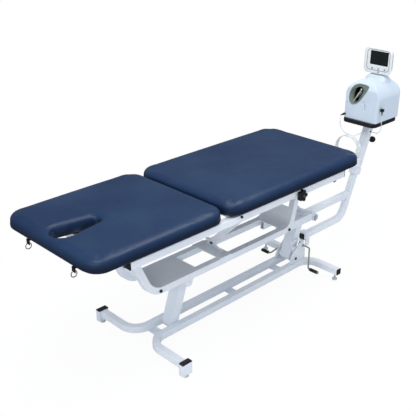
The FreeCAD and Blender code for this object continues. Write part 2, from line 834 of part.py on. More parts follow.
def pivot_carriers():
    """Tail beams inside the under-frame at the mast end, and lugs at the head end."""
    z = mast_pivot_z + arm_rise
    y = -inner_mid + beam_width / 2
    beam = straight_tube(V(beam_start, y, z), V(cross_tube_x, y, z), AWAY, beam_width, beam_height, beam_wall)
    cross = rod(V(cross_tube_x, -half_top, brace_z), AWAY, cross_tube_radius, top_width)
    hole = rod(V(mast_pivot_x + arm_run, -half_top, z), AWAY, pivot_radius + fit_gap, top_width)
    beam = beam.cut(cross).cut(hole)
    x = head_pivot_x + arm_run
    z = head_pivot_z + arm_rise
    top = mid_top - pan_height - soft_gap
    half = lug_top_width / 2
    points = [(x - half, top), (x - half, mid_bottom), (x - lug_foot, z - lug_foot), (x + lug_foot, z - lug_foot),
              (x + half, mid_bottom), (x + half, top)]
    radii = [0, lug_foot / 2, lug_foot / 2, lug_foot / 2, lug_foot / 2, 0]
    plate = upright(points, radii, -inner_mid, lug)
    hole = rod(V(x, -half_top, z), AWAY, pivot_radius + fit_gap, top_width)
    save("pivot_carriers", Part.makeCompound([both(beam), both(plate.cut(hole))]))


def mast_point(z):
    return V(mast_ref_x + (z - mast_ref_z) * mast_sin / mast_cos, 0, z)


def mast():
    """The bent lower mast, its brace with the end cross tube, and the clamp on its free end."""
    start = V(mast_low_start, 0, mast_low_z)
    points = [start, mast_point(mast_low_z), mast_point(mast_low_top)]
    lower = bent_tube(points, [mast_bend], AWAY)
    brace = straight_tube(V(cross_tube_x, 0, brace_z), mast_point(brace_z), AWAY)
    lean_start = mast_point(mast_low_z)
    body = Part.Face(section(lean_start, mast_axis, AWAY, tube, tube, tube_corner))
    brace = brace.cut(body.extrude(mast_point(mast_low_top) - lean_start))
    across = V(cross_tube_x, -cross_tube_length / 2, brace_z)
    solid = rod(across, AWAY, cross_tube_radius, cross_tube_length)
    bore = rod(across, AWAY, cross_tube_radius - cross_tube_wall, cross_tube_length)
    save("mast_brace", brace.cut(solid).fuse(solid.cut(bore)))
    half = half_tube + clamp_wall
    clamp = block(clamp_start, clamp_start + clamp_length, -half, half, mast_low_z - clamp_drop,
                  mast_low_z + half_tube + clamp_wall)
    slot = block(clamp_start, clamp_start + clamp_length, -half_tube, half_tube,
                 mast_low_z - clamp_drop - clamp_wall, mast_low_z + half_tube)
    pin = rod(V(clamp_start + clamp_length / 2, -half, mast_low_z - half_tube - 2 * clamp_wall), AWAY,
              clamp_wall, 2 * half)
    save("mast_lower", lower.fuse(clamp.cut(slot)).fuse(pin))


def top_frame():
    """The two rails under the cushions, the cross bars between them and their end plugs."""
    z = rail_bottom + half_tube
    near = straight_tube(V(rail_start, -half_rail, z), V(rail_end, -half_rail, z), AWAY)
    stud = rod(V(lock_x, -half_top, rail_bottom + lock_rise), AWAY, knob_stem_radius + fit_gap,
               half_top - half_rail)
    save("top_rail_near", near.cut(stud))
    save("top_rail_far", mirrored(near))
    inner = half_rail - half_tube
    bars = []
    for x in (head_bar_x, mid_head_top_x, brace_bar_x, mid_mast_top_x):
        bars.append(straight_tube(V(x, -inner, z), V(x, inner, z), UP))
    save("top_cross_bars", Part.makeCompound(bars))
    plugs = [tube_plug(V(mast_low_start, 0, mast_low_z), -ALONG)]
    for y in (-half_rail, half_rail):
        plugs.append(tube_plug(V(rail_start, y, z), -ALONG))
        plugs.append(tube_plug(V(rail_end, y, z), ALONG))
    stop = V(stop_x, -half_rail - half_tube, rail_top - stop_drop)
    plugs.append(rod(stop, -AWAY, stop_radius, stop_height))
    save("end_plugs", Part.makeCompound(plugs))


def cushion(x0, x1):
    """A padded cushion: drawn in at the base, full at mid height and crowned on top."""
    levels = []
    for height, inset_share, corner_share in zip(level_height_shares, level_inset_shares, level_corner_shares):
        inset = cushion_tuck * inset_share
        levels.append(plan(x0 + inset, x1 - inset, -half_top + inset, half_top - inset,
                           cushion_bottom + cushion_height * height, cushion_corner * corner_share))
    return Part.makeLoft(levels, True, False)


def slot_wire(z, grow):
    """The tapered face slot: a wide round end joined to a narrow tip by straight sides."""
    wide = slot_wide_radius + grow
    tip = slot_tip_radius + grow
    a = V(slot_start + slot_wide_radius, 0, z)
    b = V(slot_start + slot_length - slot_tip_radius, 0, z)
    lean = math.asin((wide - tip) / (b.x - a.x))
    reach = V(math.sin(lean), math.cos(lean), 0)
    flip = V(reach.x, -reach.y, 0)
    edges = [Part.LineSegment(a + reach * wide, b + reach * tip).toShape(),
             Part.Arc(b + reach * tip, b + ALONG * tip, b + flip * tip).toShape(),
             Part.LineSegment(b + flip * tip, a + flip * wide).toShape(),
             Part.Arc(a + flip * wide, a - ALONG * wide, a + reach * wide).toShape()]
    return Part.Wire(edges)


def cushions():
    head = cushion(0, head_length)
    slot = Part.Face(slot_wire(cushion_bottom - overrun, 0)).extrude(UP * (cushion_height + 2 * overrun))
    lip = Part.makeLoft([slot_wire(cushion_top - slot_lip, 0), slot_wire(cushion_top + overrun, slot_lip)],
                        True, True)
    save("head_cushion", head.cut(slot).cut(lip))
    save("lumbar_cushion", cushion(lumbar_start, lumbar_end))


def boards():
    """Boards under the cushions: the head one slotted, the lumbar one on nylon sliders."""
    radius = cushion_corner - board_inset
    wire = plan(board_inset, head_length - board_inset, -half_top + board_inset, half_top - board_inset,
                rail_top, radius)
    head = Part.Face(wire).extrude(UP * head_board_height)
    slot = Part.Face(slot_wire(rail_top - overrun, 0)).extrude(UP * (head_board_height + 2 * overrun))
    save("head_board", head.cut(slot))
    z = rail_top + fit_gap + slider_height
    wire = plan(lumbar_start + board_inset, lumbar_end - board_inset, -half_top + board_inset,
                half_top - board_inset, z, radius)
    save("lumbar_board", Part.Face(wire).extrude(UP * (board_top - z)))
    blocks = []
    for x in slider_starts:
        piece = block(x, x + slider_length, -half_rail - half_tube + tube_corner, -half_rail + half_tube - tube_corner,
                      rail_top + fit_gap, z)
        blocks.append(both(piece))
    save("lumbar_sliders", Part.makeCompound(blocks))


def harness_points():
    """Two bent tabs under the head board, each with a ring hanging in its hole."""
    tabs = []
    hole_z = rail_top - tab_drop + tab_hole_edge
    for name, y in zip(("near", "far"), ring_places):
        flat = block(tab_front, board_inset + tab_length, y - tab_width / 2, y + tab_width / 2,
                     rail_top - tab_sheet, rail_top)
        leg = block(tab_front, tab_front + tab_sheet, y - tab_width / 2, y + tab_width / 2,
                    rail_top - tab_drop, rail_top)
        hole = rod(V(tab_front, y, hole_z), ALONG, ring_hole_radius, tab_sheet)
        tabs.append(flat.fuse(leg).cut(hole))
        drop = ring_radius + ring_hole_radius - ring_wire - soft_gap
        centre = V(tab_front + tab_sheet / 2, y, hole_z - drop)
        save("harness_ring_" + name, Part.makeTorus(ring_radius, ring_wire, centre, AWAY))
    save("harness_tabs", Part.makeCompound(tabs))


def lock_knob():
    """The five-lobed knob on the near rail with its stud."""
    centre = V(lock_x, 0, rail_bottom + lock_rise)
    face = centre - AWAY * (half_rail + half_tube + side_gap)
    seat = face - AWAY * lock_neck
    knob = rod(face, -AWAY, lock_hub_radius, lock_neck).fuse(rod(seat, -AWAY, lock_lobe_ring, lock_height))
    for n in range(lock_lobes):
        lobe = around(centre, seat.y, lock_lobe_ring, 2 * math.pi * n / lock_lobes)
        knob = knob.fuse(rod(lobe, -AWAY, lock_lobe_radius, lock_height))
    save("lock_knob", knob.fuse(rod(seat, AWAY, knob_stem_radius, lock_stud_length)))


def mast_sleeve():
    """The outer mast tube with its collar and flange, and the clamp knob on its outer face."""
    low = mast_point(collar_bottom)
    collar_top = mast_point(sleeve_bottom)
    high = mast_point(tray_bottom + sleeve_side)
    inner = tube + 2 * fit_gap
    body = Part.Face(section(collar_top, mast_axis, AWAY, sleeve_side, sleeve_side, tube_corner))
    body = body.extrude(high - collar_top)
    collar = Part.Face(section(low, mast_axis, AWAY, collar_side, collar_side, tube_corner))
    body = body.fuse(collar.extrude(collar_top - low))
    above = block(mast_ref_x, overall_length, -half_top, half_top, tray_bottom, tray_bottom + 2 * sleeve_side)
    body = body.cut(above)
    centre = mast_point(tray_bottom).x
    flange = plan(centre - sleeve_flange / 2, centre + sleeve_flange / 2, -sleeve_flange / 2, sleeve_flange / 2,
                  tray_bottom - sleeve_flange_height, tube_corner)
    body = body.fuse(Part.Face(flange).extrude(UP * sleeve_flange_height))
    nut = mast_point(mast_knob_z) + mast_side * (half_tube + fit_gap)
    nut_run = (sleeve_side - tube) / 2 + mast_nut_height
    body = body.fuse(rod(nut, mast_side, mast_nut_radius, nut_run))
    thumb = mast_point(thumb_z) - AWAY * (half_tube + tube_wall)
    body = body.fuse(rod(thumb, -AWAY, mid_bolt_radius, tube_wall + mid_bolt_height))
    bore = Part.Face(section(low, mast_axis, AWAY, inner, inner, tube_corner)).extrude(high - low)
    body = body.cut(bore)
    body = body.cut(rod(nut, mast_side, knob_stem_radius + fit_gap, nut_run))
    save("mast_sleeve", body.fuse(lead_hook()))
    stem = rod(nut + mast_side * side_gap, mast_side, knob_stem_radius, nut_run + knob_stem_length)
    collar = rod(nut + mast_side * (nut_run + side_gap), mast_side, knob_stem_radius + collar_extra, collar_height)
    grip = rod(nut + mast_side * (nut_run + knob_stem_length), mast_side, round_knob_radius, round_knob_height)
    grip = grip.makeFillet(collar_extra, [grip.Edges[0], grip.Edges[2]])
    save("mast_knob", stem.fuse(collar).fuse(grip))


def tray():
    x1 = tray_start + tray_length
    half = tray_width / 2
    levels = [plan(tray_start + tray_edge, x1 - tray_edge, -half + tray_edge, half - tray_edge, tray_bottom,
                   tray_corner - tray_edge),
              plan(tray_start, x1, -half, half, tray_bottom + tray_edge, tray_corner),
              plan(tray_start, x1, -half, half, tray_top, tray_corner)]
    save("tray", Part.makeLoft(levels, True, True))


def face_of(curves):
    return Part.Face(Part.Wire([curve.toShape() for curve in curves]))


def unit_body():
    """The moulded housing: an arched front outline crossed with an arched side outline."""
    half = unit_width / 2
    foot = half - unit_draft
    z0 = tray_top
    shoulder = z0 + unit_height * dome_shoulder_share
    bend_z = z0 + unit_height * dome_mid_share
    bend_y = half * dome_across_share
    a = V(unit_start - overrun, 0, 0)
    front = [Part.LineSegment(a + V(0, -foot, z0), a + V(0, foot, z0)),
             Part.LineSegment(a + V(0, foot, z0), a + V(0, half, shoulder)),
             Part.Arc(a + V(0, half, shoulder), a + V(0, bend_y, bend_z), a + V(0, 0, unit_top)),
             Part.Arc(a + V(0, 0, unit_top), a + V(0, -bend_y, bend_z), a + V(0, -half, shoulder)),
             Part.LineSegment(a + V(0, -half, shoulder), a + V(0, -foot, z0))]
    body = face_of(front).extrude(ALONG * (unit_length + 2 * overrun))
    x0 = unit_start
    x1 = unit_start + unit_length
    middle = (x0 + x1) / 2
    end_z = z0 + unit_height * end_shoulder_share
    draft = 2 * unit_draft
    bend = (unit_length / 2 - draft) * dome_across_share
    high_z = z0 + unit_height * end_mid_share
    b = V(0, -half - overrun, 0)
    side = [Part.LineSegment(b + V(x0, 0, z0), b + V(x1, 0, z0)),
            Part.LineSegment(b + V(x1, 0, z0), b + V(x1 - draft, 0, end_z)),
            Part.Arc(b + V(x1 - draft, 0, end_z), b + V(middle + bend, 0, high_z), b + V(middle, 0, unit_top)),
            Part.Arc(b + V(middle, 0, unit_top), b + V(middle - bend, 0, high_z), b + V(x0 + draft, 0, end_z)),
            Part.LineSegment(b + V(x0 + draft, 0, end_z), b + V(x0, 0, z0))]
    body = body.common(face_of(side).extrude(AWAY * (unit_width + 2 * overrun)))
    rounding = plan(x0, x1, -half + side_gap, half - side_gap, z0, unit_corner)
    return body.common(Part.Face(rounding).extrude(UP * unit_height))


def window_face(x, grow):
    """The rounded outline of the rope window in the face towards the table."""
    middle_y = (max(window_ys) + min(window_ys)) / 2
    middle_z = (max(window_zs) + min(window_zs)) / 2
    points = []
    for y, z in zip(window_ys, window_zs):
        away = V(0, y - middle_y, z - middle_z).normalize()
        points.append(V(x, y, z) + away * grow)
    return Part.Face(outline(points, window_rounds))


def unit():
    """The housing with its rope window, pulley, screen neck and side socket."""
    body = unit_body()
    x0 = unit_start
    floor_x = x0 + window_depth
    body = body.cut(window_face(x0 - overrun, 0).extrude(ALONG * (window_depth + overrun)))
    axis = V(0, math.sin(math.radians(rope_slope)), math.cos(math.radians(rope_slope)))
    hub = V(x0 + pulley_setback, pulley_y, pulley_z)
    gap = pulley_width / 2 + side_gap
    back = floor_x - hub.x
    for side in (-1, 1):
        start = hub + axis * (side * gap)
        web = section(start + ALONG * (back / 2), axis * side, ALONG, back, 2 * cheek_radius, 0)
        body = body.fuse(rod(start, axis * side, cheek_radius, cheek))
        body = body.fuse(Part.Face(web).extrude(axis * (side * cheek)))
    body = body.fuse(rod(hub - axis * (gap + cheek), axis, pulley_axle_radius, 2 * (gap + cheek)))
    neck = block(pod_hinge_x - pod_barrel_radius, pod_hinge_x + pod_barrel_radius, -pod_barrel_length / 2,
                 pod_barrel_length / 2, unit_top - pod_barrel_length / 2, pod_hinge_z)
    barrel_start = V(pod_hinge_x, -pod_barrel_length / 2, pod_hinge_z)
    body = body.fuse(neck).fuse(rod(barrel_start, AWAY, pod_barrel_radius, pod_barrel_length))
    body = body.cut(rod(barrel_start, AWAY, pod_pin_radius + fit_gap, pod_barrel_length))
    frame = block(port_x - port_length / 2, port_x + port_length / 2, -unit_width / 2 - port_depth / 2,
                  -unit_width / 2 + unit_corner, port_z - port_height / 2, port_z + port_height / 2)
    body = body.fuse(frame.makeFillet(tube_wall, frame.Edges))
    save("unit_shell", body)
    rim = window_face(x0 - 2 * overrun, window_rim_width).extrude(ALONG * window_depth)
    hole = window_face(x0 - 2 * overrun, -side_gap).extrude(ALONG * window_depth)
    skin = unit_body()
    proud = skin.copy()
    proud.translate(ALONG * -window_rim_proud)
    save("window_rim", rim.cut(hole).common(proud).cut(skin))
    wheel = rod(hub - axis * (pulley_width / 2), axis, pulley_radius, pulley_width)
    rope_ring = pulley_radius + rope_radius / 2
    wheel = wheel.cut(Part.makeTorus(rope_ring, pulley_groove, hub, axis))
    wheel = wheel.cut(rod(hub - axis * pulley_width, axis, pulley_axle_radius + fit_gap, 2 * pulley_width))
    save("rope_pulley", wheel)
    down = V(0, axis.z, -axis.y)
    middle = hub - ALONG * rope_ring
    rope = rod(middle - down * rope_up, down, rope_radius, rope_up + rope_down)
    rope = rope.fuse(Part.makeSphere(2 * rope_radius, middle - down * rope_up)).cut(body)
    save("traction_rope", rope)


def pod_wire(x, inset):
    z0 = pod_bottom + inset
    z1 = pod_bottom + pod_height - inset
    points = [V(x, -pod_half + inset, z0), V(x, pod_half - inset, z0), V(x, pod_half - inset, z1),
              V(x, -pod_half + inset, z1)]
    return outline(points, [pod_corner - inset / 2] * len(points))


def screen_face(x, grow):
    half = screen_width / 2 + grow
    z0 = pod_bottom + screen_rise - grow
    z1 = z0 + screen_height + 2 * grow
    points = [V(x, screen_offset - half, z0), V(x, screen_offset + half, z0),
              V(x, screen_offset + half, z1), V(x, screen_offset - half, z1)]
    return Part.Face(outline(points, [screen_corner] * len(points)))


def display_pod():
    """The display housing on its hinge, with a screen and four buttons."""
    bezel_x = pod_front + pod_bezel
    shape = Part.makeLoft([pod_wire(bezel_x, 0), pod_wire(pod_front + pod_depth, pod_taper)], True, True)
    shape = shape.fuse(Part.makeLoft([pod_wire(pod_front, pod_bezel), pod_wire(bezel_x, 0)], True, True))
    half = pod_barrel_length / 2 + side_gap
    shape = shape.cut(block(pod_front + pod_slot_front, pod_front + pod_depth + overrun, -half, half,
                            pod_bottom - overrun, pod_bottom + pod_slot_height))
    for side in (-1, 1):
        inner_face = V(pod_hinge_x, side * half, pod_hinge_z)
        shape = shape.fuse(rod(inner_face, AWAY * side, pod_barrel_radius, pod_knuckle))
        pin_start = inner_face + AWAY * (side * pod_knuckle)
        shape = shape.fuse(rod(pin_start, AWAY * -side, pod_pin_radius, pod_knuckle + pod_pin_length))
    shape = shape.cut(screen_face(pod_front, fit_gap).extrude(ALONG * screen_depth))
    save("screen", screen_face(pod_front + side_gap, 0).extrude(ALONG * (screen_depth - side_gap)))
    places = [("left", button_pad, button_row), ("middle", 0, button_row), ("right", -button_pad, button_row),
              ("lower", 0, button_low_row)]
    for name, y, rise in places:
        centre = V(pod_front, screen_offset + y, pod_bottom + rise)
        shape = shape.cut(rod(centre, ALONG, button_radius + button_gap, button_pocket))
        button = rod(centre - ALONG * button_proud, ALONG, button_radius, button_length)
        save("button_" + name, button.makeFillet(button_edge, [button.Edges[0], button.Edges[2]]))
    save("display_pod", shape)


def helix_point(turn):
    """Position and direction on the hanging coil, counted in turns from its top."""
    angle = 2 * math.pi * turn
    place = V(coil_x - coil_pitch * turn, -coil_radius * math.sin(angle), coil_z + coil_radius * math.cos(angle))
    drift = coil_pitch / (2 * math.pi)
    direction = V(-drift, -coil_radius * math.cos(angle), -coil_radius * math.sin(angle)).normalize()
    return place, direction


def tangent_arc(start, control, end):
    """An arc that leaves start towards control and arrives at end from control."""
    middle = (start + end) / 2
    cos_half = start.distanceToPoint(end) / 2 / start.distanceToPoint(control)
    return Part.Arc(start, middle + (control - middle) * (cos_half / (1 + cos_half)), end).toShape()


def biarc(p0, t0, p1, t1):
    """Two tangent arcs between two points with given directions."""
    chord = p1 - p0
    square = 2 * (1 - t0.dot(t1))
    dot = chord.dot(t0 + t1)
    reach = (-dot + math.sqrt(dot * dot + square * chord.dot(chord))) / square
    c0 = p0 + t0 * reach
    c1 = p1 - t1 * reach
    joint = (c0 + c1) / 2
    return [tangent_arc(p0, c0, joint), tangent_arc(joint, c1, p1)]


def pipe(path, start, direction, radius):
    circle = Part.Wire(Part.makeCircle(radius, start, direction))
    return path.makePipeShell([circle], True, False)


def free_lead(name, points, radius):
    """A lead on straight runs joined by tangent arcs, with its tightest bend printed."""
    radii = []
    for before, point, after in zip(points, points[1:], points[2:]):
        half_turn = (point - before).getAngle(after - point) / 2
        shorter = min(point.distanceToPoint(before), after.distanceToPoint(point))
        radii.append(bend_share * shorter / math.tan(half_turn))
    path = rounded_path(points, radii)
    tight = min(radii) / (2 * radius)
    print(name, "length", round(path.Length), "bend radii", [round(r) for r in radii],
          "tightest in diameters", round(tight, 1))
    if tight < least_diameters:
        print(name, "is bent too tightly")
    save(name, pipe(path, points[0], points[1] - points[0], radius))


def coil():
    """The switch lead's hanging coil, one unbroken tube."""
    half_turns = int(2 * coil_turns)
    edges = []
    for n in range(half_turns):
        p0, t0 = helix_point(n / 2)
        p1, t1 = helix_point((n + 1) / 2)
        edges += biarc(p0, t0, p1, t1)
    path = Part.Wire(edges)
    samples = path.discretize(samples_each_half * half_turns)
    least = min(samples[i].distanceToPoint(samples[j]) for i in range(0, len(samples), sample_step)
                for j in range(i + samples_each_half, len(samples)))
    print("coil length", round(path.Length), "least gap to itself", round(least - 2 * lead_radius, 2))
    start, direction = helix_point(0)
    save("switch_lead_coil", pipe(path, start, direction, lead_radius))


def leads():
    """The hand switch's plug, lead and coil."""
    coil()
    top, top_way = helix_point(0)
    plug_face = unit_start + unit_draft
    relief_start = V(unit_start - plug_length, plug_y, plug_z)
    plug = rod(V(plug_face, plug_y, plug_z), -ALONG, plug_radius, plug_face - relief_start.x)
    plug = plug.fuse(rod(relief_start, -ALONG, relief_radius, relief_length)).cut(unit_body())
    save("switch_plug", plug)
    out = relief_start - ALONG * relief_length
    points = [out + V(*step) for step in top_lead_out] + [top - top_way * top_lead_last, top]
    free_lead("switch_lead_top", points, lead_radius)
    low, low_way = helix_point(coil_turns)
    hang = V(low.x - switch_back, switch_y, coil_z - coil_radius - switch_drop)
    points = [low, low + low_way * tail_lead_first, low + V(*tail_lead_turn), hang + UP * tail_lead_last, hang]
    free_lead("switch_lead_tail", points, lead_radius)
    hand_switch(hang)


def lead_hook():
    """The wire hook on the mast tube that the switch lead's coil hangs on."""
    z = coil_z + coil_radius - lead_radius - soft_gap - hook_wire
    root = mast_point(hook_root_z) - mast_side * (sleeve_side / 2)
    near = coil_x + hook_past
    far = coil_x - coil_pitch * coil_turns - hook_past
    points = [root, V(near + hook_tip, 0, root.z), V(near, 0, z), V(far, 0, z), V(far - hook_bend, 0, z + hook_tip)]
    path = rounded_path(points, [hook_bend] * len(points))
    wire = pipe(path, root, -ALONG, hook_wire)
    pad = Part.Face(section(root, mast_side, AWAY, 4 * hook_wire, 4 * hook_wire, hook_wire))
    return wire.fuse(pad.extrude(mast_side * -hook_wire)).cut(mast_body())


def mast_body():
    """The outer mast tube as a solid, to fit pieces against its faces."""
    low = mast_point(sleeve_bottom)
    face = Part.Face(section(low, mast_axis, AWAY, sleeve_side, sleeve_side, tube_corner))
    return face.extrude(mast_point(tray_bottom) - low)


def hand_switch(top):
    """The hand switch hanging on its lead, with a push button in its lower end."""
    body = rod(top - UP * relief_length, -UP, switch_radius, switch_length)
    body = body.makeFillet(switch_round, [body.Edges[0], body.Edges[2]])
    body = body.fuse(rod(top, -UP, relief_radius, relief_length + switch_round))
    foot = top - UP * (relief_length + switch_length)
    body = body.cut(rod(foot, UP, switch_button_radius + button_gap, switch_button_pocket))
    save("hand_switch", body)
    button = rod(foot + UP * (switch_button_length / 2), -UP, switch_button_radius, switch_button_length)
    save("switch_button", button.makeFillet(button_edge, [button.Edges[0], button.Edges[2]]))


def side_lead():
    """The short lead from the side socket round the tray to the mast."""
    face_y = -unit_width / 2 - port_depth / 2
    half = port_plug_side / 2
    plug = block(port_x - half, port_x + half, face_y - port_plug_reach, face_y, port_z - port_plug_side, port_z)
    plug = plug.makeFillet(tube_wall, plug.Edges)
    start = V(port_x, face_y - port_plug_reach / 2, port_z - port_plug_side - relief_length)
    plug = plug.fuse(rod(start, UP, relief_radius, relief_length + tube_wall))
    centre = mast_point(gland_z).x
    gland = rod(V(centre, -sleeve_side / 2, gland_z), -AWAY, gland_radius, gland_height)
    save("side_lead_ends", Part.makeCompound([plug, gland]))
    end = V(centre, -sleeve_side / 2 - gland_height, gland_z)
    points = [start + V(*step) for step in side_lead_out] + [end + V(*step) for step in side_lead_in]
    free_lead("side_lead", points, side_lead_radius)


os.makedirs("parts", exist_ok=True)
base_rails()
glides()
base_brackets()
lift_arms()
quadrant()
crank()
pedal()
mid_rails()
pans()
cross_support()
pivot_carriers()
mast()
top_frame()
cushions()
boards()
harness_points()
lock_knob()
mast_sleeve()
tray()
unit()
display_pod()
leads()
side_lead()
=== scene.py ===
"""Padded two-section treatment table on a crank lift, dressed for the photograph."""
import json
import math

import bmesh
import bpy
from mathutils import Matrix, Vector
from mathutils.bvhtree import BVHTree


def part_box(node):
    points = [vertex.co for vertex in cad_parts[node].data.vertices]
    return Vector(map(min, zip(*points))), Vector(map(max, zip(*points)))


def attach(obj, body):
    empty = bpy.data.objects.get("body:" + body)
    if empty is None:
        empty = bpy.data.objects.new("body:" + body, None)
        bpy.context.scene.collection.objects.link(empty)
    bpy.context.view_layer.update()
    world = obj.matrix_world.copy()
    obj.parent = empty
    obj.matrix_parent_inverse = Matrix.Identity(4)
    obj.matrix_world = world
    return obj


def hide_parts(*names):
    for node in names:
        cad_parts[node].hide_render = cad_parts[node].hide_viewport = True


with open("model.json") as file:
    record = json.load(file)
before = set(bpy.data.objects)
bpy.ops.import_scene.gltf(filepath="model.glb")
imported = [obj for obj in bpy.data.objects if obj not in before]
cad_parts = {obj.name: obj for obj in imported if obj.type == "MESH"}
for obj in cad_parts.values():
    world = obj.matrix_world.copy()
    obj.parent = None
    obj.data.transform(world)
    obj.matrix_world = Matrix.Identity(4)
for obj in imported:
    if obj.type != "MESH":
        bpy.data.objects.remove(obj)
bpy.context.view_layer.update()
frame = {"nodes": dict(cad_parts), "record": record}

MM = 0.001
HALF_LENGTH = 1250.0


def at(x, y, z):
    """A point in metres from millimetres, with x counted from the head end of the table."""
    return Vector(((x - HALF_LENGTH) * MM, y * MM, z * MM))


# Camera

def photo_camera():
    """The camera that was worked out from the parallel edges in the photograph."""
    lens_mm = 61.594
    place = Vector((-2.5903, -2.3463, 2.1060))
    look = Vector((0.6364, 0.6513, -0.4133))
    data = bpy.data.cameras.new("photo_camera")
    data.sensor_width = 36.0
    data.lens = lens_mm
    data.clip_end = 60.0
    camera = bpy.data.objects.new("photo_camera", data)
    camera.location = place
    camera.rotation_euler = look.to_track_quat("-Z", "Y").to_euler()
    bpy.context.scene.collection.objects.link(camera)
    bpy.context.scene.camera = camera


photo_camera()


# Making pieces

def new_object(name, data):
    piece = bpy.data.objects.new(name, data)
    bpy.context.scene.collection.objects.link(piece)
    return piece


def mesh_piece(name, shape, smooth_angle=math.radians(32)):
    """Turn a finished bmesh into an object with its normals outward."""
    bmesh.ops.recalc_face_normals(shape, faces=shape.faces)
    data = bpy.data.meshes.new(name)
    shape.to_mesh(data)
    shape.free()
    data.shade_smooth()
    data.set_sharp_from_angle(angle=smooth_angle)
    return new_object(name, data)


def finished(piece):
    """The piece's mesh with its modifiers applied."""
    graph = bpy.context.evaluated_depsgraph_get()
    data = bpy.data.meshes.new_from_object(piece.evaluated_get(graph))
    piece.modifiers.clear()
    old = piece.data
    piece.data = data
    bpy.data.meshes.remove(old)
    return piece


def modify(piece, name, kind, **settings):
    """Add a modifier with its settings."""
    made = piece.modifiers.new(name, kind)
    for key, value in settings.items():
        setattr(made, key, value)


def combine(piece, other, operation):
    """Boolean one piece with another, which is used up."""
    modify(piece, "combine", "BOOLEAN", operation=operation, solver="EXACT", object=other)
    finished(piece)
    bpy.data.objects.remove(other)
    return piece


def loop_at(shape, points):
    """A closed ring of edges through points."""
    verts = [shape.verts.new(point) for point in points]
    return [shape.edges.new((verts[k - 1], verts[k])) for k in range(len(verts))]


def bridge(shape, rings, *caps):
    """Join each ring to the next, and close the rings that are given as caps."""
    for lower, upper in zip(rings, rings[1:]):
        bmesh.ops.bridge_loops(shape, edges=lower + upper)
    for ring in caps:
        bmesh.ops.contextual_create(shape, geom=ring)


def round_over(shape, edges, radius, segments, clamp=False):
    """Round edges over to a radius in mm."""
    bmesh.ops.bevel(shape, geom=edges, offset=radius * MM, offset_type="OFFSET", segments=segments, profile=0.5,
                    affect="EDGES", material=-1, clamp_overlap=clamp)


def pull(shape, faces, push):
    """Draw faces out along a vector and leave the first ones where they are."""
    pulled = bmesh.ops.extrude_face_region(shape, geom=faces, use_keep_orig=True)["geom"]
    bmesh.ops.translate(shape, vec=push, verts=[g for g in pulled if isinstance(g, bmesh.types.BMVert)])


def turn_to(axis):
    """The rotation that carries +Z onto an axis."""
    return Vector(axis).to_track_quat("Z", "Y").to_matrix().to_4x4()


def dress(piece, body, slot, *nodes, finish=None):
    """Give a piece its body, its slot's finish or another one, and the CAD nodes it stands for."""
    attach(piece, body)
    piece.data.materials.clear()
    piece.data.materials.append(FINISHES[finish or slot])
    if nodes:
        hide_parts(*nodes)
    return piece


# Finishes

def add_node(tree, kind, settings=(), *first, **named):
    """Add a shader node. Its first inputs in order, and others by name, get a value or a link."""
    made = tree.nodes.new(kind)
    for key, value in dict(settings).items():
        setattr(made, key, value)
    wanted = list(zip(made.inputs, first))
    wanted += [(made.inputs[key.replace("_", " ")], value) for key, value in named.items()]
    for socket, value in wanted:
        if isinstance(value, bpy.types.NodeSocket):
            tree.links.new(value, socket)
        else:
            socket.default_value = value
    return made


class Finish:
    """A Principled shader with the textures that feed it, all in object coordinates."""

    def __init__(self, name, colour, roughness, **sockets):
        self.material = bpy.data.materials.new(name)
        self.material.use_nodes = True
        self.tree = self.material.node_tree
        self.shader = self.tree.nodes["Principled BSDF"]
        self.shader.inputs["Base Color"].default_value = (*colour, 1.0)
        self.shader.inputs["Roughness"].default_value = roughness
        for socket, value in sockets.items():
            self.shader.inputs[socket.replace("_", " ")].default_value = value
        self.place = self.node("ShaderNodeTexCoord").outputs["Object"]

    def node(self, kind, settings=(), *first, **named):
        return add_node(self.tree, kind, settings, *first, **named)

    def noise(self, scale, detail=3.0, roughness=0.55, where=None):
        return self.node("ShaderNodeTexNoise", Vector=where or self.place, Scale=scale, Detail=detail,
                         Roughness=roughness).outputs["Fac"]

    def stretched(self, scale):
        """Object coordinates scaled apart along the three axes."""
        return self.node("ShaderNodeMapping", Vector=self.place, Scale=scale).outputs["Vector"]

    def cells(self, scale, feature="F1", where=None):
        return self.node("ShaderNodeTexVoronoi", {"feature": feature}, Vector=where or self.place, Scale=scale,
                         Randomness=1.0).outputs["Distance"]

    def between(self, value, low, high, to_low=0.0, to_high=1.0):
        return self.node("ShaderNodeMapRange", Value=value, From_Min=low, From_Max=high, To_Min=to_low,
                         To_Max=to_high).outputs["Result"]

    def blend(self, amount, first, second):
        """Mix two colours by an amount."""
        mix = self.tree.nodes.new("ShaderNodeMix")
        mix.data_type = "RGBA"
        self.tree.links.new(amount, mix.inputs[0])
        for socket, value in ((mix.inputs[6], first), (mix.inputs[7], second)):
            if isinstance(value, bpy.types.NodeSocket):
                self.tree.links.new(value, socket)
            else:
                socket.default_value = (*value, 1.0)
        return mix.outputs[2]

    def colour(self, output):
        self.tree.links.new(output, self.shader.inputs["Base Color"])
        return self

    def rough(self, value, low, high):
        """Roughness that runs from low to high with a texture value."""
        self.tree.links.new(self.between(value, 0.3, 0.7, low, high), self.shader.inputs["Roughness"])
        return self

    def bump(self, height, depth):
        bump = self.node("ShaderNodeBump", Height=height, Distance=depth, Strength=1.0)
        last = self.shader.inputs["Normal"]
        if last.is_linked:
            self.tree.links.new(last.links[0].from_socket, bump.inputs["Normal"])
        self.tree.links.new(bump.outputs["Normal"], last)
        return self


def linear(r, g, b):
    """An 8-bit screen colour as the linear colour that shaders take."""
    return tuple(c / 255 / 12.92 if c <= 10 else ((c / 255 + 0.055) / 1.055) ** 2.4 for c in (r, g, b))


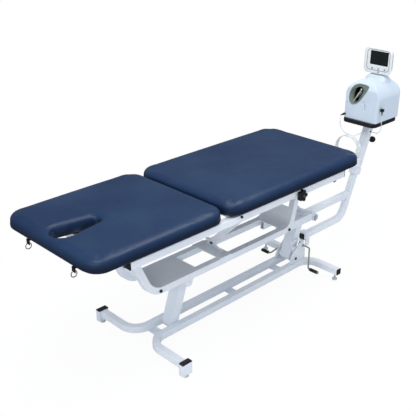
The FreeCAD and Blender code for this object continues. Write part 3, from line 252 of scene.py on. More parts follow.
def powder_coat():
    """Pale blue-white powder coat with a faint orange peel and handling marks."""
    coat = Finish("powder_coat", linear(214, 221, 233), 0.34, Coat_Weight=0.25, Coat_Roughness=0.2)
    drift = coat.between(coat.noise(3.0), 0.35, 0.65)
    marks = coat.between(coat.noise(42.0, 6.0, 0.7), 0.62, 0.78)
    shade = coat.blend(drift, linear(222, 228, 238), linear(232, 236, 243))
    coat.colour(coat.blend(coat.between(marks, 0.0, 1.0, 0.0, 0.35), shade, linear(200, 207, 218)))
    coat.rough(coat.noise(18.0), 0.28, 0.42)
    coat.bump(coat.noise(520.0, 2.0), 0.00012)
    return coat.material


def vinyl(name, deep, light):
    """Upholstery vinyl: pebbled grain in broken cells with painted shade in its creases, over a soft, uneven sheen,
    with painted shade darkening its sides.
    """
    pebbles, wander = 620.0, 0.0012
    side_shade_low, side_shade_high = 0.744, 0.777
    skin = Finish(name, deep, 0.4, Specular_IOR_Level=0.4)
    wobble = skin.node("ShaderNodeTexNoise", Vector=skin.place, Scale=240.0).outputs["Color"]
    warped = skin.node("ShaderNodeVectorMath", {"operation": "MULTIPLY_ADD"}, wobble, (wander,) * 3,
                       skin.place).outputs[0]
    pebble = skin.cells(pebbles, where=warped)
    crease = skin.cells(pebbles, "DISTANCE_TO_EDGE", where=warped)
    drift = skin.between(skin.noise(2.4, 4.0), 0.36, 0.64)
    height = skin.node("ShaderNodeSeparateXYZ", Vector=skin.place).outputs["Z"]
    # Painted shade: below the top roll the sides darken to 0.42 of the colour, and the grain creases to 0.3 of it.
    painted_side_shade, painted_crease_shade = (tuple(share * c for c in deep) for share in (0.42, 0.3))
    mottled_with_side_shade = skin.blend(skin.between(height, side_shade_low, side_shade_high), painted_side_shade, skin.blend(drift, deep, light))
    # Painted shade in the grain creases, blended in near the cell edges.
    skin.colour(skin.blend(skin.between(crease, 0.0, 0.09, 0.45, 0.0), mottled_with_side_shade, painted_crease_shade))
    skin.rough(skin.noise(9.0, 4.0), 0.3, 0.42)
    skin.bump(pebble, -0.00022)
    skin.bump(skin.noise(34.0, 3.0), 0.0005)
    return skin.material


def steel(name, colour, low, high, grain=(30.0, 900.0, 900.0)):
    """Plated steel with fine drawn lines and a cloudy polish."""
    metal = Finish(name, colour, low, Metallic=1.0)
    lines = metal.noise(1.0, 2.0, where=metal.stretched(grain))
    cloud = metal.noise(60.0, 4.0)
    metal.colour(metal.blend(metal.between(cloud, 0.35, 0.7), colour, tuple(0.78 * c for c in colour)))
    metal.rough(cloud, low, high)
    metal.bump(lines, 0.00004)
    return metal.material


def moulded(name, colour, low, high, texture=900.0, depth=0.00006, coat=0.0, flow_shade=0.86):
    """Moulded plastic: a fine spark texture, faint flow in the colour, uneven gloss."""
    shell = Finish(name, colour, low, Coat_Weight=coat, Coat_Roughness=0.12)
    flow = shell.between(shell.noise(14.0, 3.0), 0.35, 0.65)
    shell.colour(shell.blend(flow, colour, tuple(flow_shade * c for c in colour)))
    shell.rough(shell.noise(38.0, 3.0), low, high)
    shell.bump(shell.noise(texture, 2.0), depth)
    return shell.material


def stained_plywood():
    """Black-stained plywood with its grain showing along the table."""
    board = Finish("stained_plywood", linear(34, 31, 30), 0.55)
    grain = board.noise(1.0, 6.0, 0.65, where=board.stretched((9.0, 160.0, 160.0)))
    board.colour(board.blend(board.between(grain, 0.35, 0.65), linear(24, 22, 22), linear(52, 46, 42)))
    board.rough(grain, 0.45, 0.65)
    board.bump(grain, 0.0002)
    return board.material


def screen_glass():
    """The dark panel behind clear glass, with faint smears."""
    glass = Finish("screen_glass", linear(26, 31, 31), 0.16, Specular_IOR_Level=0.3)
    smear = glass.noise(22.0, 5.0, 0.7)
    glass.colour(glass.blend(glass.between(smear, 0.4, 0.7), linear(24, 29, 29), linear(32, 38, 38)))
    glass.rough(smear, 0.1, 0.24)
    return glass.material


def braid():
    """Cream cord with a diagonal lay and painted shade in the lay's grooves."""
    rope = Finish("rope_fibre", linear(226, 224, 214), 0.8, Sheen_Weight=0.3)
    lay = rope.node("ShaderNodeTexWave", {"bands_direction": "DIAGONAL"}, Vector=rope.place, Scale=260.0,
                    Distortion=1.5).outputs["Fac"]
    # Painted shade: where the lay's bump is low, the cord's colour darkens.
    rope.colour(rope.blend(lay, linear(196, 192, 180), linear(236, 234, 226)))
    rope.bump(lay, 0.0004)
    return rope.material


def light_sheath():
    """Pale grey lead sheath, slightly soiled and softly glossy."""
    sheath = Finish("lead_sheath", linear(216, 221, 226), 0.4)
    soil = sheath.between(sheath.noise(28.0, 5.0, 0.7), 0.4, 0.72)
    sheath.colour(sheath.blend(soil, linear(224, 228, 232), linear(196, 200, 203)))
    sheath.rough(sheath.noise(70.0), 0.32, 0.5)
    sheath.bump(sheath.noise(800.0), 0.00005)
    return sheath.material


def black_rubber():
    """Black rubber with a fine cell and a dull, dusty shade."""
    grip = Finish("black_rubber", linear(26, 27, 29), 0.62)
    grip.colour(grip.blend(grip.between(grip.noise(55.0, 5.0), 0.4, 0.7), linear(22, 23, 25), linear(46, 47, 49)))
    grip.rough(grip.noise(30.0), 0.5, 0.72)
    grip.bump(grip.cells(900.0), 0.00012)
    return grip.material


FINISHES = {
    "frame_paint": powder_coat(),
    "zinc_steel": steel("zinc_steel", linear(176, 180, 186), 0.28, 0.45),
    "black_steel": moulded("black_steel", linear(28, 30, 34), 0.3, 0.45, 500.0, 0.0001),
    "bright_steel": steel("bright_steel", linear(218, 220, 224), 0.12, 0.26),
    "vinyl": vinyl("vinyl", linear(20, 47, 86), linear(32, 60, 95)),
    "plywood": stained_plywood(),
    "nylon": moulded("nylon", linear(216, 216, 210), 0.4, 0.55),
    "black_plastic": moulded("black_plastic", linear(24, 26, 30), 0.34, 0.5, 700.0, 0.0001),
    "black_rubber": black_rubber(),
    "unit_plastic": moulded("unit_plastic", linear(206, 218, 232), 0.28, 0.36, 1100.0, 0.00004, 0.1, 0.97),
    "display_plastic": moulded("display_plastic", linear(230, 232, 234), 0.28, 0.36, 1100.0, 0.00004, 0.1, 0.97),
    "dull_zinc": moulded("dull_zinc", linear(138, 146, 138), 0.3, 0.45, 700.0),
    "glide_zinc": moulded("glide_zinc", linear(196, 202, 204), 0.2, 0.35, 700.0),
    "grey_plastic": moulded("grey_plastic", linear(126, 138, 130), 0.18, 0.3, 1000.0, 0.00005, 0.7),
    "screen_glass": screen_glass(),
    "button_plastic": moulded("button_plastic", linear(150, 158, 172), 0.32, 0.42),
    "rope_fibre": braid(),
    "lead_sheath": light_sheath(),
}


OWN_FINISHES = {"crank_rod": "dull_zinc", "pedal_lever": "dull_zinc", "lower_bolts": "frame_paint",
                "lift_quadrant": "frame_paint", "pan_head": "frame_paint", "pan_mast": "frame_paint",
                "cross_deck": "frame_paint", "cross_stays": "frame_paint"}


def dress_cad_nodes():
    """Give every CAD node that stays the finish of its slot."""
    slots = {part["node"]: part["material_slot"] for part in frame["record"]["subparts"]}
    for name, node in frame["nodes"].items():
        node.data.materials.clear()
        node.data.materials.append(FINISHES[OWN_FINISHES.get(name, slots[name])])


dress_cad_nodes()


# Leads

def cord_curve(name, points, radius):
    """A lead on one smooth spline with the route's points as its control points."""
    data = bpy.data.curves.new(name, "CURVE")
    data.dimensions = "3D"
    data.bevel_depth = radius
    data.bevel_resolution = 6
    data.resolution_u = 6
    data.use_fill_caps = True
    spline = data.splines.new("NURBS")
    spline.points.add(len(points) - 1)
    for knot, point in zip(spline.points, points):
        knot.co = (*point, 1.0)
    spline.order_u = 3
    spline.use_endpoint_u = True
    return new_object(name, data)


LEAD_RADIUS = 2.6 * MM
COIL_RADIUS = 82.0
COIL_PITCH = 6.2
COIL_TURNS = 5.5
COIL_STEPS = 16
COIL_START = 2165
COIL_MIDDLE = 640


def coil_points():
    """The hanging coil's turns, drawn out so that the smooth line keeps their radius."""
    reach = COIL_RADIUS / math.cos(math.pi / COIL_STEPS)
    points = []
    for k in range(int(COIL_TURNS * COIL_STEPS)):
        turn = (k + 0.5) / COIL_STEPS
        angle = math.tau * turn
        points.append(at(COIL_START - COIL_PITCH * turn, -reach * math.sin(angle),
                         COIL_MIDDLE + reach * math.cos(angle)))
    return points


def switch_lead():
    """The hand switch's lead: down from its plug, round the coil on the hook, and down to the switch."""
    top = [at(2215, 106, 817), at(2192, 104, 815), at(2183, 97, 772), at(2186, 81, 730), at(2168, 37, 722)]
    tail = [at(2130.5, 32, 558), at(2127.9, 61, 540), at(2126.9, 66, 524), at(2126.9, 66, 496)]
    lead = cord_curve("switch_lead", top + coil_points() + tail, LEAD_RADIUS)
    dress(lead, "upper_mast", "lead_sheath", "switch_lead_top", "switch_lead_coil", "switch_lead_tail")
    return lead


def socket_lead():
    """The short lead from the side socket round the tray to the mast tube."""
    points = [at(2279, -132, 862), at(2280, -133, 830), at(2283, -133, 790), at(2291, -128, 750),
              at(2307.3, -99, 720), at(2343.3, -65, 706), at(2343.3, -27, 706)]
    lead = cord_curve("socket_lead", points, 2.0 * MM)
    dress(lead, "upper_mast", "lead_sheath", "side_lead")
    return lead


the_switch_lead = switch_lead()
the_socket_lead = socket_lead()


ROPE_ROUTE = [(2256.8, 11.4, 984.5), (2256.6, 23.0, 965.0), (2256.5, 34.0, 946.8), (2256.6, 50.0, 920.0),
              (2256.8, 65.8, 893.5)]
ROPE_STEPS = 150
ROPE_TURNS = 9.0
STRAND_RADIUS = 1.34 * MM
STRAND_OFFSET = 1.14 * MM
STRAND_SIDES = 10
KNOT = [(0.0, -4.6), (2.6, -4.0), (4.2, -2.2), (4.8, 0.0), (4.2, 2.2), (3.0, 3.6), (0.0, 4.0)]
FERRULE = [(0.0, -7.0), (2.9, -7.0), (3.1, -6.4), (3.1, -0.8), (2.5, 0.4), (0.0, 0.4)]


def route_points(route):
    """A smooth line through a NURBS route, as points."""
    line = cord_curve("rope_route", route, 0.0)
    line.data.resolution_u = 24
    data = line.to_mesh()
    points = [vertex.co.copy() for vertex in data.vertices]
    line.to_mesh_clear()
    bpy.data.objects.remove(line)
    return points


def around(centre, across, side, angle, radius):
    """A point on the circle that two directions span."""
    return centre + (across * math.cos(angle) + side * math.sin(angle)) * radius


def strand(shape, line, number):
    """One of the rope's three strands, laid round its line."""
    across = Vector((1, 0, 0))
    rings = []
    for k in range(ROPE_STEPS + 1):
        share = k / ROPE_STEPS
        spot = share * (len(line) - 1)
        low = min(int(spot), len(line) - 2)
        side = (line[low + 1] - line[low]).normalized().cross(across).normalized()
        centre = around(line[low].lerp(line[low + 1], spot - low), across, side,
                        math.tau * (ROPE_TURNS * share + number / 3), STRAND_OFFSET)
        rings.append(loop_at(shape, [around(centre, across, side, math.tau * j / STRAND_SIDES, STRAND_RADIUS)
                                     for j in range(STRAND_SIDES)]))
    bridge(shape, rings, rings[0], rings[-1])


def traction_rope():
    """Three strands laid round each other along the rope's line, with a knot above and a ferrule below."""
    line = route_points([at(*point) for point in ROPE_ROUTE])
    shape = bmesh.new()
    for number in range(3):
        strand(shape, line, number)
    rope = mesh_piece("stranded_rope", shape, math.radians(60))
    dress(rope, "upper_mast", "rope_fibre", "traction_rope")
    down = (line[-1] - line[0]).normalized()
    knot = turned("rope_knot", KNOT, line[0], down, 24)
    dress(knot, "upper_mast", "rope_fibre")
    ferrule = turned("rope_ferrule", FERRULE, line[-1], down, 24)
    dress(ferrule, "upper_mast", "bright_steel")
    length = sum((b - a).length for a, b in zip(line, line[1:]))
    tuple(line[0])


# Cushions

CUSHION_BOTTOM = 726.3
CUSHION_TOP = 786.0
HALF_TOP = 344.5
PLAN_RADIUS = 92.0
TOP_ROLL = 27.0
BOTTOM_ROLL = 12.0
HEAD_END = 757.0
LUMBAR_END = 1808.0
GAP = 8.0
COVER_ROOM = 3.0
COVER_VOXEL = 0.0065
COVER_PRESSURE = 3.5
COVER_RISE = 4.0 * MM
COVER_FRAMES = 18
HELD_SHARE = 0.12
SLOT_WIDE = 56.0
SLOT_TIP = 28.0
SLOT_WIDE_AT = 97.0
SLOT_TIP_AT = 260.0
SLOT_STEPS = 28
SLOT_ROLL = 20.0
BOARD_CLEARANCE = 22.0


def cushion_block(x0, x1):
    """A slab with rounded corners, a soft rolled top edge and a tighter bottom edge."""
    shape = bmesh.new()
    bmesh.ops.create_cube(shape, size=1.0)
    low = at(x0, -HALF_TOP, CUSHION_BOTTOM)
    high = at(x1, HALF_TOP, CUSHION_TOP)
    bmesh.ops.scale(shape, vec=high - low, verts=shape.verts)
    bmesh.ops.translate(shape, vec=(low + high) / 2, verts=shape.verts)
    uprights = [e for e in shape.edges if abs(e.verts[0].co.z - e.verts[1].co.z) > 0.01]
    round_over(shape, uprights, PLAN_RADIUS, 10)
    for z, radius, segments in ((high.z, TOP_ROLL, 8), (low.z, BOTTOM_ROLL, 4)):
        rim = [e for e in shape.edges if all(abs(v.co.z - z) < 0.0005 for v in e.verts) and e.calc_face_angle(0) > 1]
        round_over(shape, rim, radius, segments)
    return shape


def slot_ring(shape, z, grow):
    """One level of the tapered face slot, as a closed ring of edges."""
    wide, tip = SLOT_WIDE + grow, SLOT_TIP + grow
    lean = math.asin((wide - tip) / (SLOT_TIP_AT - SLOT_WIDE_AT))
    corners = []
    for middle, radius, start, sweep in ((SLOT_WIDE_AT, wide, math.pi / 2 - lean, math.pi + 2 * lean),
                                         (SLOT_TIP_AT, tip, -(math.pi / 2 - lean), math.pi - 2 * lean)):
        for k in range(SLOT_STEPS + 1):
            angle = start + sweep * k / SLOT_STEPS
            corners.append(at(middle + radius * math.cos(angle), radius * math.sin(angle), z))
    return loop_at(shape, corners)


def slot_cutter():
    """The solid that opens the face slot, flared where the cover rolls into it."""
    shape = bmesh.new()
    levels = [(CUSHION_BOTTOM - 6, 0.0), (CUSHION_TOP - SLOT_ROLL, 0.0)]
    for k in range(1, 7):
        angle = math.pi / 2 * k / 6
        levels.append((CUSHION_TOP - SLOT_ROLL + SLOT_ROLL * math.sin(angle), SLOT_ROLL * (1 - math.cos(angle))))
    levels.append((CUSHION_TOP + 8, SLOT_ROLL))
    rings = [slot_ring(shape, z, grow) for z, grow in levels]
    bridge(shape, rings, rings[0], rings[-1])
    return mesh_piece("slot_cutter", shape)


def puff_out(piece):
    """Blow a cover out over its foam as cloth, its lower edge held, and keep back what moves too far."""
    start = [v.co.copy() for v in piece.data.vertices]
    held = piece.vertex_groups.new(name="held")
    for v in piece.data.vertices:
        if (v.co.z - CUSHION_BOTTOM * MM) / ((CUSHION_TOP - CUSHION_BOTTOM) * MM) < HELD_SHARE:
            held.add([v.index], 1.0, "REPLACE")
    cloth = piece.modifiers.new("cover", "CLOTH")
    cloth.settings.quality = 6
    cloth.settings.mass = 0.35
    cloth.settings.tension_stiffness = 30
    cloth.settings.compression_stiffness = 30
    cloth.settings.bending_stiffness = 1.2
    cloth.settings.use_pressure = True
    cloth.settings.uniform_pressure_force = COVER_PRESSURE
    cloth.settings.vertex_group_mass = "held"
    cloth.settings.effector_weights.gravity = 0.0
    cloth.collision_settings.use_collision = False
    for number in range(1, COVER_FRAMES + 1):
        bpy.context.scene.frame_set(number)
    finished(piece)
    for v, home in zip(piece.data.vertices, start):
        move = v.co - home
        if move.length > COVER_RISE:
            v.co = home + move * (COVER_RISE / move.length)
    bpy.context.scene.frame_set(1)


def fill_with_foam(piece):
    """Give a pad an even skin, puff it out over its foam and soften it."""
    modify(piece, "even_skin", "REMESH", mode="VOXEL", voxel_size=COVER_VOXEL)
    finished(piece)
    puff_out(piece)
    modify(piece, "soften", "SMOOTH", factor=0.5, iterations=3)
    finished(piece)
    piece.data.shade_smooth()


def lumbar_cushion():
    """The sliding section's pad."""
    piece = mesh_piece("lumbar_pad", cushion_block(HEAD_END + GAP + COVER_ROOM, LUMBAR_END - COVER_ROOM))
    fill_with_foam(piece)
    dress(piece, "lumbar", "vinyl", "lumbar_cushion")


def head_cushion():
    """The head section's pad with its face slot."""
    piece = mesh_piece("head_pad", cushion_block(COVER_ROOM, HEAD_END - COVER_ROOM))
    combine(piece, slot_cutter(), "DIFFERENCE")
    fill_with_foam(piece)
    dress(piece, "lift_frame", "vinyl", "head_cushion")


def head_panel():
    """The stained board under the head cushion, with an opening wider than the cushion's slot."""
    levels = [(1.2, 715.0), (0.0, 716.2), (0.0, 724.8), (1.2, 726.0)]
    plans = [rounded_plan(25 + a, 732 - a, -320 + a, 320 - a, z, 71.0 - a) for a, z in levels]
    board = lofted("head_panel", plans)
    shape = bmesh.new()
    rings = [slot_ring(shape, z, BOARD_CLEARANCE) for z in (700.0, 740.0)]
    bridge(shape, rings, *rings)
    combine(board, mesh_piece("board_cutter", shape), "DIFFERENCE")
    dress(board, "lift_frame", "plywood", "head_board")


lumbar_cushion()
head_cushion()


# Turned, lofted and eased pieces

PLAN_STEPS = 8
LOOP_STEPS = 6
ARC_STEPS = 16


def turned(name, profile, place, axis, steps=32):
    """A piece turned from radius and height pairs in mm, standing at place along an axis."""
    shape = bmesh.new()
    verts = [shape.verts.new((radius * MM, 0.0, height * MM)) for radius, height in profile]
    edges = [shape.edges.new(pair) for pair in zip(verts, verts[1:])]
    if profile[0][0] > 0.0:
        edges.append(shape.edges.new((verts[-1], verts[0])))
    bmesh.ops.spin(shape, geom=verts + edges, cent=(0, 0, 0), axis=(0, 0, 1), angle=math.tau, steps=steps,
                   use_merge=True)
    bmesh.ops.remove_doubles(shape, verts=shape.verts, dist=0.000001)
    bmesh.ops.transform(shape, matrix=Matrix.Translation(place) @ turn_to(axis), verts=shape.verts)
    return mesh_piece(name, shape)


def lofted(name, levels):
    """A closed piece through loops of points, each level joined to the next."""
    shape = bmesh.new()
    rings = [loop_at(shape, points) for points in levels]
    bridge(shape, rings, rings[-1], rings[0])
    return mesh_piece(name, shape)


def rounded_plan(x0, x1, y0, y1, z, radius):
    """A rounded rectangle in plan, as points."""
    points = []
    for cx, cy, start in ((x1 - radius, y1 - radius, 0), (x0 + radius, y1 - radius, 1), (x0 + radius, y0 + radius, 2),
                          (x1 - radius, y0 + radius, 3)):
        for k in range(PLAN_STEPS + 1):
            angle = math.pi / 2 * (start + k / PLAN_STEPS)
            points.append(at(cx + radius * math.cos(angle), cy + radius * math.sin(angle), z))
    return points


def smooth_loop(corners):
    """A closed smooth line through pairs of numbers."""
    count = len(corners)
    line = []
    for i in range(count):
        p0, p1, p2, p3 = (Vector(corners[(i + j) % count]) for j in (-1, 0, 1, 2))
        for k in range(LOOP_STEPS):
            t = k / LOOP_STEPS
            line.append((2 * p1 + (p2 - p0) * t + (2 * p0 - 5 * p1 + 4 * p2 - p3) * t ** 2
                         + (3 * p1 - p0 - 3 * p2 + p3) * t ** 3) / 2)
    return line


def eased(name, node, width, sharp, segments=3):
    """A CAD node's shape with its sharp edges rounded over."""
    shape = bmesh.new()
    shape.from_mesh(frame["nodes"][node].data)
    bmesh.ops.remove_doubles(shape, verts=shape.verts, dist=0.00002)
    bmesh.ops.dissolve_limit(shape, angle_limit=math.radians(2.0), verts=shape.verts, edges=shape.edges)
    edges = [e for e in shape.edges if e.is_manifold and e.calc_face_angle(0) > math.radians(sharp)]
    round_over(shape, edges, width, segments, clamp=True)
    return mesh_piece(name, shape)


def centre_of(node):
    """The middle of a CAD node's box."""
    low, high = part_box(node)
    return (Vector(low) + Vector(high)) / 2


# Traction unit

UNIT_START, UNIT_END = 2240.0, 2500.0
UNIT_FLOOR, UNIT_CREST = 794.0, 1046.0
UNIT_HALF = 120.0
UNIT_MIDDLE = 2370
HOUSING_VOXEL = 0.0026
RIM_LINE = [(84, 916), (85, 943), (78, 969), (62, 999), (38, 1010), (7, 1012), (-20, 1010), (-36, 1003), (-33, 985),
            (-18, 961), (-4, 938), (20, 907), (50, 889), (74, 894)]
WELL_LINE = [(70, 928), (69, 950), (60, 976), (42, 991), (24, 994), (12, 987), (10, 968), (19, 944), (33, 915),
             (52, 899), (66, 908)]
WELL_FRONT = 2252
WELL_LIP = 2276
WELL_DEPTHS = (2290, 2313)
GROOVES = (([(-26, 900), (-29, 858)], 8.0), ([(-4, 902), (-27, 911)], 7.0), ([(103, 918), (99, 848)], 5.0))
GROOVE_DEPTH = 6.0
GROOVE_START = 8.0
COLLAR_LEVELS = ((1000, 8, 78), (1030, 5, 72), (1042, 0, 63), (1049, -6, 57), (1052.5, -10, 53))


def arch(low, half_low, shoulder, half, bend, crest):
    """An arched outline as pairs: straight sides from a foot to a shoulder, then two arcs to the crest."""
    right = [(half_low, low)] + three_point_arc((half, shoulder), bend, (0.0, crest))
    return right + [(-a, b) for a, b in reversed(right[:-1])]


def three_point_arc(a, m, b):
    """Points along the circle through three points, from the first to the last."""
    (ax, ay), (mx, my), (bx, by) = a, m, b
    d = 2 * (ax * (my - by) + mx * (by - ay) + bx * (ay - my))
    sa, sm, sb = ax * ax + ay * ay, mx * mx + my * my, bx * bx + by * by
    cx = (sa * (my - by) + sm * (by - ay) + sb * (ay - my)) / d
    cy = (sa * (bx - mx) + sm * (ax - bx) + sb * (mx - ax)) / d
    radius = math.hypot(ax - cx, ay - cy)
    start, end = math.atan2(ay - cy, ax - cx), math.atan2(by - cy, bx - cx)
    return [(cx + radius * math.cos(start + (end - start) * k / ARC_STEPS),
             cy + radius * math.sin(start + (end - start) * k / ARC_STEPS)) for k in range(ARC_STEPS + 1)]


def slab(name, points, push):
    """A solid drawn from a flat outline along a vector in mm."""
    shape = bmesh.new()
    pull(shape, bmesh.ops.contextual_create(shape, geom=loop_at(shape, points))["faces"], Vector(push) * MM)
    return mesh_piece(name, shape)


def housing_block():
    """The housing's outer form: an arched front outline crossed with an arched side outline and its plan."""
    front = arch(UNIT_FLOOR, 115.0, 940.2, UNIT_HALF, (79.2, 1010.7), UNIT_CREST)
    side = arch(UNIT_FLOOR, 130.0, 985.5, 120.0, (79.2, 1032.1), UNIT_CREST)
    body = slab("housing", [at(UNIT_START - 5, y, z) for y, z in front], (270.0, 0.0, 0.0))
    combine(body, slab("side_form", [at(UNIT_MIDDLE + x, -UNIT_HALF - 5, z) for x, z in side], (0.0, 250.0, 0.0)),
            "INTERSECT")
    plan = rounded_plan(UNIT_START, UNIT_END, -UNIT_HALF + 0.4, UNIT_HALF - 0.4, UNIT_FLOOR - 2, 26.0)
    return combine(body, slab("plan_form", plan, (0.0, 0.0, 260.0)), "INTERSECT")


def face_depth(body):
    """Where the housing's front face lies, in mm, for a place across it and a height."""
    shape = bmesh.new()
    shape.from_mesh(body.data)
    tree = BVHTree.FromBMesh(shape)
    shape.free()

    def depth(y, z):
        hit = tree.ray_cast(at(UNIT_START - 60, y, z), Vector((1, 0, 0)))[0]
        return hit.x / MM + HALF_LENGTH
    return depth


def groove(points, width, depth):
    """A cutter for a shallow recess that follows a line on the front face."""
    out = []
    back = []
    for (y0, z0), (y1, z1) in zip(points, points[1:]):
        run = Vector((y1 - y0, z1 - z0)).normalized()
        side = Vector((-run.y, run.x)) * (width / 2)
        for y, z in ((y0, z0), (y1, z1)):
            out.append((y + side.x, z + side.y))
            back.append((y - side.x, z - side.y))
    x = depth(*points[0]) - GROOVE_START
    return slab("groove", [at(x, y, z) for y, z in out + back[::-1]], (GROOVE_START + GROOVE_DEPTH, 0.0, 0.0))


def housing():
    """The moulded housing, soft at its edges, with its rope window, recesses and the collar under the display."""
    body = housing_block()
    depth = face_depth(body)
    well = slab("well_form", [at(UNIT_START - 8, y, z) for y, z in smooth_loop(RIM_LINE)], (82.0, 0.0, 0.0))
    combine(body, well, "DIFFERENCE")
    for line, width in GROOVES:
        combine(body, groove(line, width, depth), "DIFFERENCE")
    collar = lofted("collar", [rounded_plan(2372 - a, 2444 + a, -b, b, z, 22.0) for z, a, b in COLLAR_LEVELS])
    combine(body, collar, "UNION")
    modify(body, "skin", "REMESH", mode="VOXEL", voxel_size=HOUSING_VOXEL)
    modify(body, "soft_edges", "SMOOTH", factor=0.5, iterations=6)
    finished(body)
    body.data.shade_smooth()
    dress(body, "upper_mast", "unit_plastic", "unit_shell")
    return depth


def window_pieces(depth):
    """The sloping rim of the rope window and the dark well behind it."""
    outer = smooth_loop(RIM_LINE)
    middle = sum(outer, Vector((0, 0))) / len(outer)
    inner_raw = smooth_loop(WELL_LINE)
    inner = []
    for place in outer:
        bearing = math.atan2(place.y - middle.y, place.x - middle.x)
        inner.append(min(inner_raw, key=lambda q: abs(math.remainder(
            math.atan2(q.y - middle.y, q.x - middle.x) - bearing, math.tau))))
    away = [(place - middle).normalized() for place in outer]
    face = [depth(p.x + 3 * a.x, min(p.y + 3 * a.y, 1030.0)) for p, a in zip(outer, away)]
    levels = []
    for grow, sink in ((1.0, 6.0), (3.2, 0.6), (2.4, -1.8), (0.2, -2.6), (-2.2, -1.2)):
        levels.append([at(x + sink, p.x + a.x * grow, p.y + a.y * grow) for p, a, x in zip(outer, away, face)])
    for share, sink in ((0.3, 5.0), (0.62, 11.0), (0.92, 17.0), (1.0, 24.0)):
        levels.append([at(x * (1 - share) + WELL_FRONT * share + sink, *(p * (1 - share) + q * share))
                       for p, q, x in zip(outer, inner, face)])
    levels.append([at(WELL_LIP, *(q + (p - q).normalized() * 3)) for p, q in zip(outer, inner)])
    shape = bmesh.new()
    bridge(shape, [loop_at(shape, points) for points in levels + levels[:1]])
    bmesh.ops.remove_doubles(shape, verts=shape.verts, dist=0.00001)
    rim = mesh_piece("window_rim_moulding", shape, math.radians(40))
    dress(rim, "upper_mast", "grey_plastic", "window_rim")
    shape = bmesh.new()
    rings = [loop_at(shape, points) for points in [levels[-2]] + [[at(x, *q) for q in inner] for x in WELL_DEPTHS]]
    bridge(shape, rings, rings[-1])
    well = mesh_piece("window_well", shape, math.radians(40))
    modify(well, "wall", "SOLIDIFY", thickness=0.0012)
    finished(well)
    dress(well, "upper_mast", "black_plastic")


def rope_hook():
    """The small steel ring at the rope's lower end."""
    eye = at(2257.6, 66.5, 892.5)
    ring = bmesh.new()
    bmesh.ops.create_circle(ring, segments=10, radius=1.3 * MM)
    bmesh.ops.rotate(ring, cent=(0, 0, 0), matrix=Matrix.Rotation(math.pi / 2, 3, "X"), verts=ring.verts)
    bmesh.ops.translate(ring, vec=(6.5 * MM, 0, 0), verts=ring.verts)
    bmesh.ops.spin(ring, geom=ring.verts[:] + ring.edges[:], cent=(0, 0, 0), axis=(0, 0, 1), angle=math.tau, steps=28,
                   use_merge=True)
    bmesh.ops.transform(ring, matrix=Matrix.Translation(eye) @ turn_to((1, 0.2, 0.1)), verts=ring.verts)
    dress(mesh_piece("rope_ring", ring), "upper_mast", "bright_steel")


def display():
    """The display housing eased all round, with the fine joint of its front panel."""
    panel_face, joint_width, joint_rise = 2384.6, 3.0 * MM, 1.0 * MM
    pod = eased("display_case", "display_pod", 2.6, 30.0)
    dress(pod, "pod", "unit_plastic", "display_pod", finish="display_plastic")
    plan = rounded_plan(1078.5, 1205.0, -84.0, 76.0, 0.0, 24.0)
    shape = bmesh.new()
    loop = loop_at(shape, [at(panel_face, p.y / MM, p.x / MM + HALF_LENGTH) for p in plan])
    middle = bmesh.ops.contextual_create(shape, geom=loop)["faces"]
    rim = bmesh.ops.inset_region(shape, faces=middle, thickness=joint_width, use_boundary=True,
                                 use_even_offset=True)["faces"]
    bmesh.ops.delete(shape, geom=middle, context="FACES")
    pull(shape, rim, (joint_rise, 0, 0))
    dress(mesh_piece("panel_joint", shape), "pod", "grey_plastic")


def tray_pan():
    """The tray with a rolled lower edge and a soft lip."""
    levels = [(4.5, 769.3), (1.6, 770.6), (0.0, 774.0), (0.0, 791.0), (0.9, 793.2), (2.4, 794.0)]
    plans = [rounded_plan(2227 + a, 2488 - a, -117 + a, 117 - a, z, 34.0 - a) for a, z in levels]
    dress(lofted("tray_pan", plans), "upper_mast", "black_plastic", "tray")


def pulley_bracket():
    """The two cheeks that hold the pulley, and its headed axle."""
    tilt = math.radians(59.1)
    axis = Vector((0, math.sin(tilt), math.cos(tilt)))
    down = Vector((0, axis.z, -axis.y))
    back = Vector((29 * MM, 0, 0))
    radius = 8 * MM
    hub = at(2284, 35, 945)
    for side, name in ((-1, "near"), (1, "far")):
        start = hub + axis * (side * 6.4 * MM)
        outline = [start + (Vector((-math.cos(t), 0, 0)) + down * math.sin(t)) * radius
                   for t in (math.pi * (k / 12 - 0.5) for k in range(13))]
        outline += [start + back + down * radius, start + back - down * radius]
        cheek = slab("pulley_cheek_" + name, outline, axis * (side * 3.0))
        modify(cheek, "ease", "BEVEL", width=0.5 * MM, segments=2)
        finished(cheek)
        dress(cheek, "upper_mast", "zinc_steel")
    profile = [(0.0, -11.4), (3.6, -11.2), (5.2, -10.6), (5.6, -9.6), (4.0, -9.4), (4.0, 9.4), (5.6, 9.6), (5.2, 10.6),
               (3.6, 11.2), (0.0, 11.4)]
    dress(turned("pulley_axle", profile, hub, axis, 28), "upper_mast", "bright_steel")


head_panel()
traction_rope()
unit_depth = housing()
window_pieces(unit_depth)
pulley_bracket()
rope_hook()
display()
tray_pan()


# Grips, knobs and glides

def ribbed(name, node, body, slot, ribs, bore):
    """A sleeve along Y with rounded ribs, in place of a plain one."""
    groove_depth, ease, plain_end = 0.7, 1.6, 3.0
    low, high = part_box(node)
    radius = (high[0] - low[0]) / 2 / MM
    length = (high[1] - low[1]) / MM
    root = radius - groove_depth
    outside = [(bore, 0.0), (radius - ease, 0.0), (root, 1.2)]
    pitch = (length - 2 * plain_end) / ribs
    for k in range(ribs):
        start = plain_end + pitch * k
        outside += [(root, start), (radius, start + 0.25 * pitch), (radius, start + 0.7 * pitch),
                    (root, start + 0.95 * pitch)]
    outside += [(root, length - 1.2), (radius - ease, length), (bore, length)]
    place = Vector(((low[0] + high[0]) / 2, low[1], (low[2] + high[2]) / 2))
    dress(turned(name, outside, place, (0, 1, 0), 36), body, slot, node)


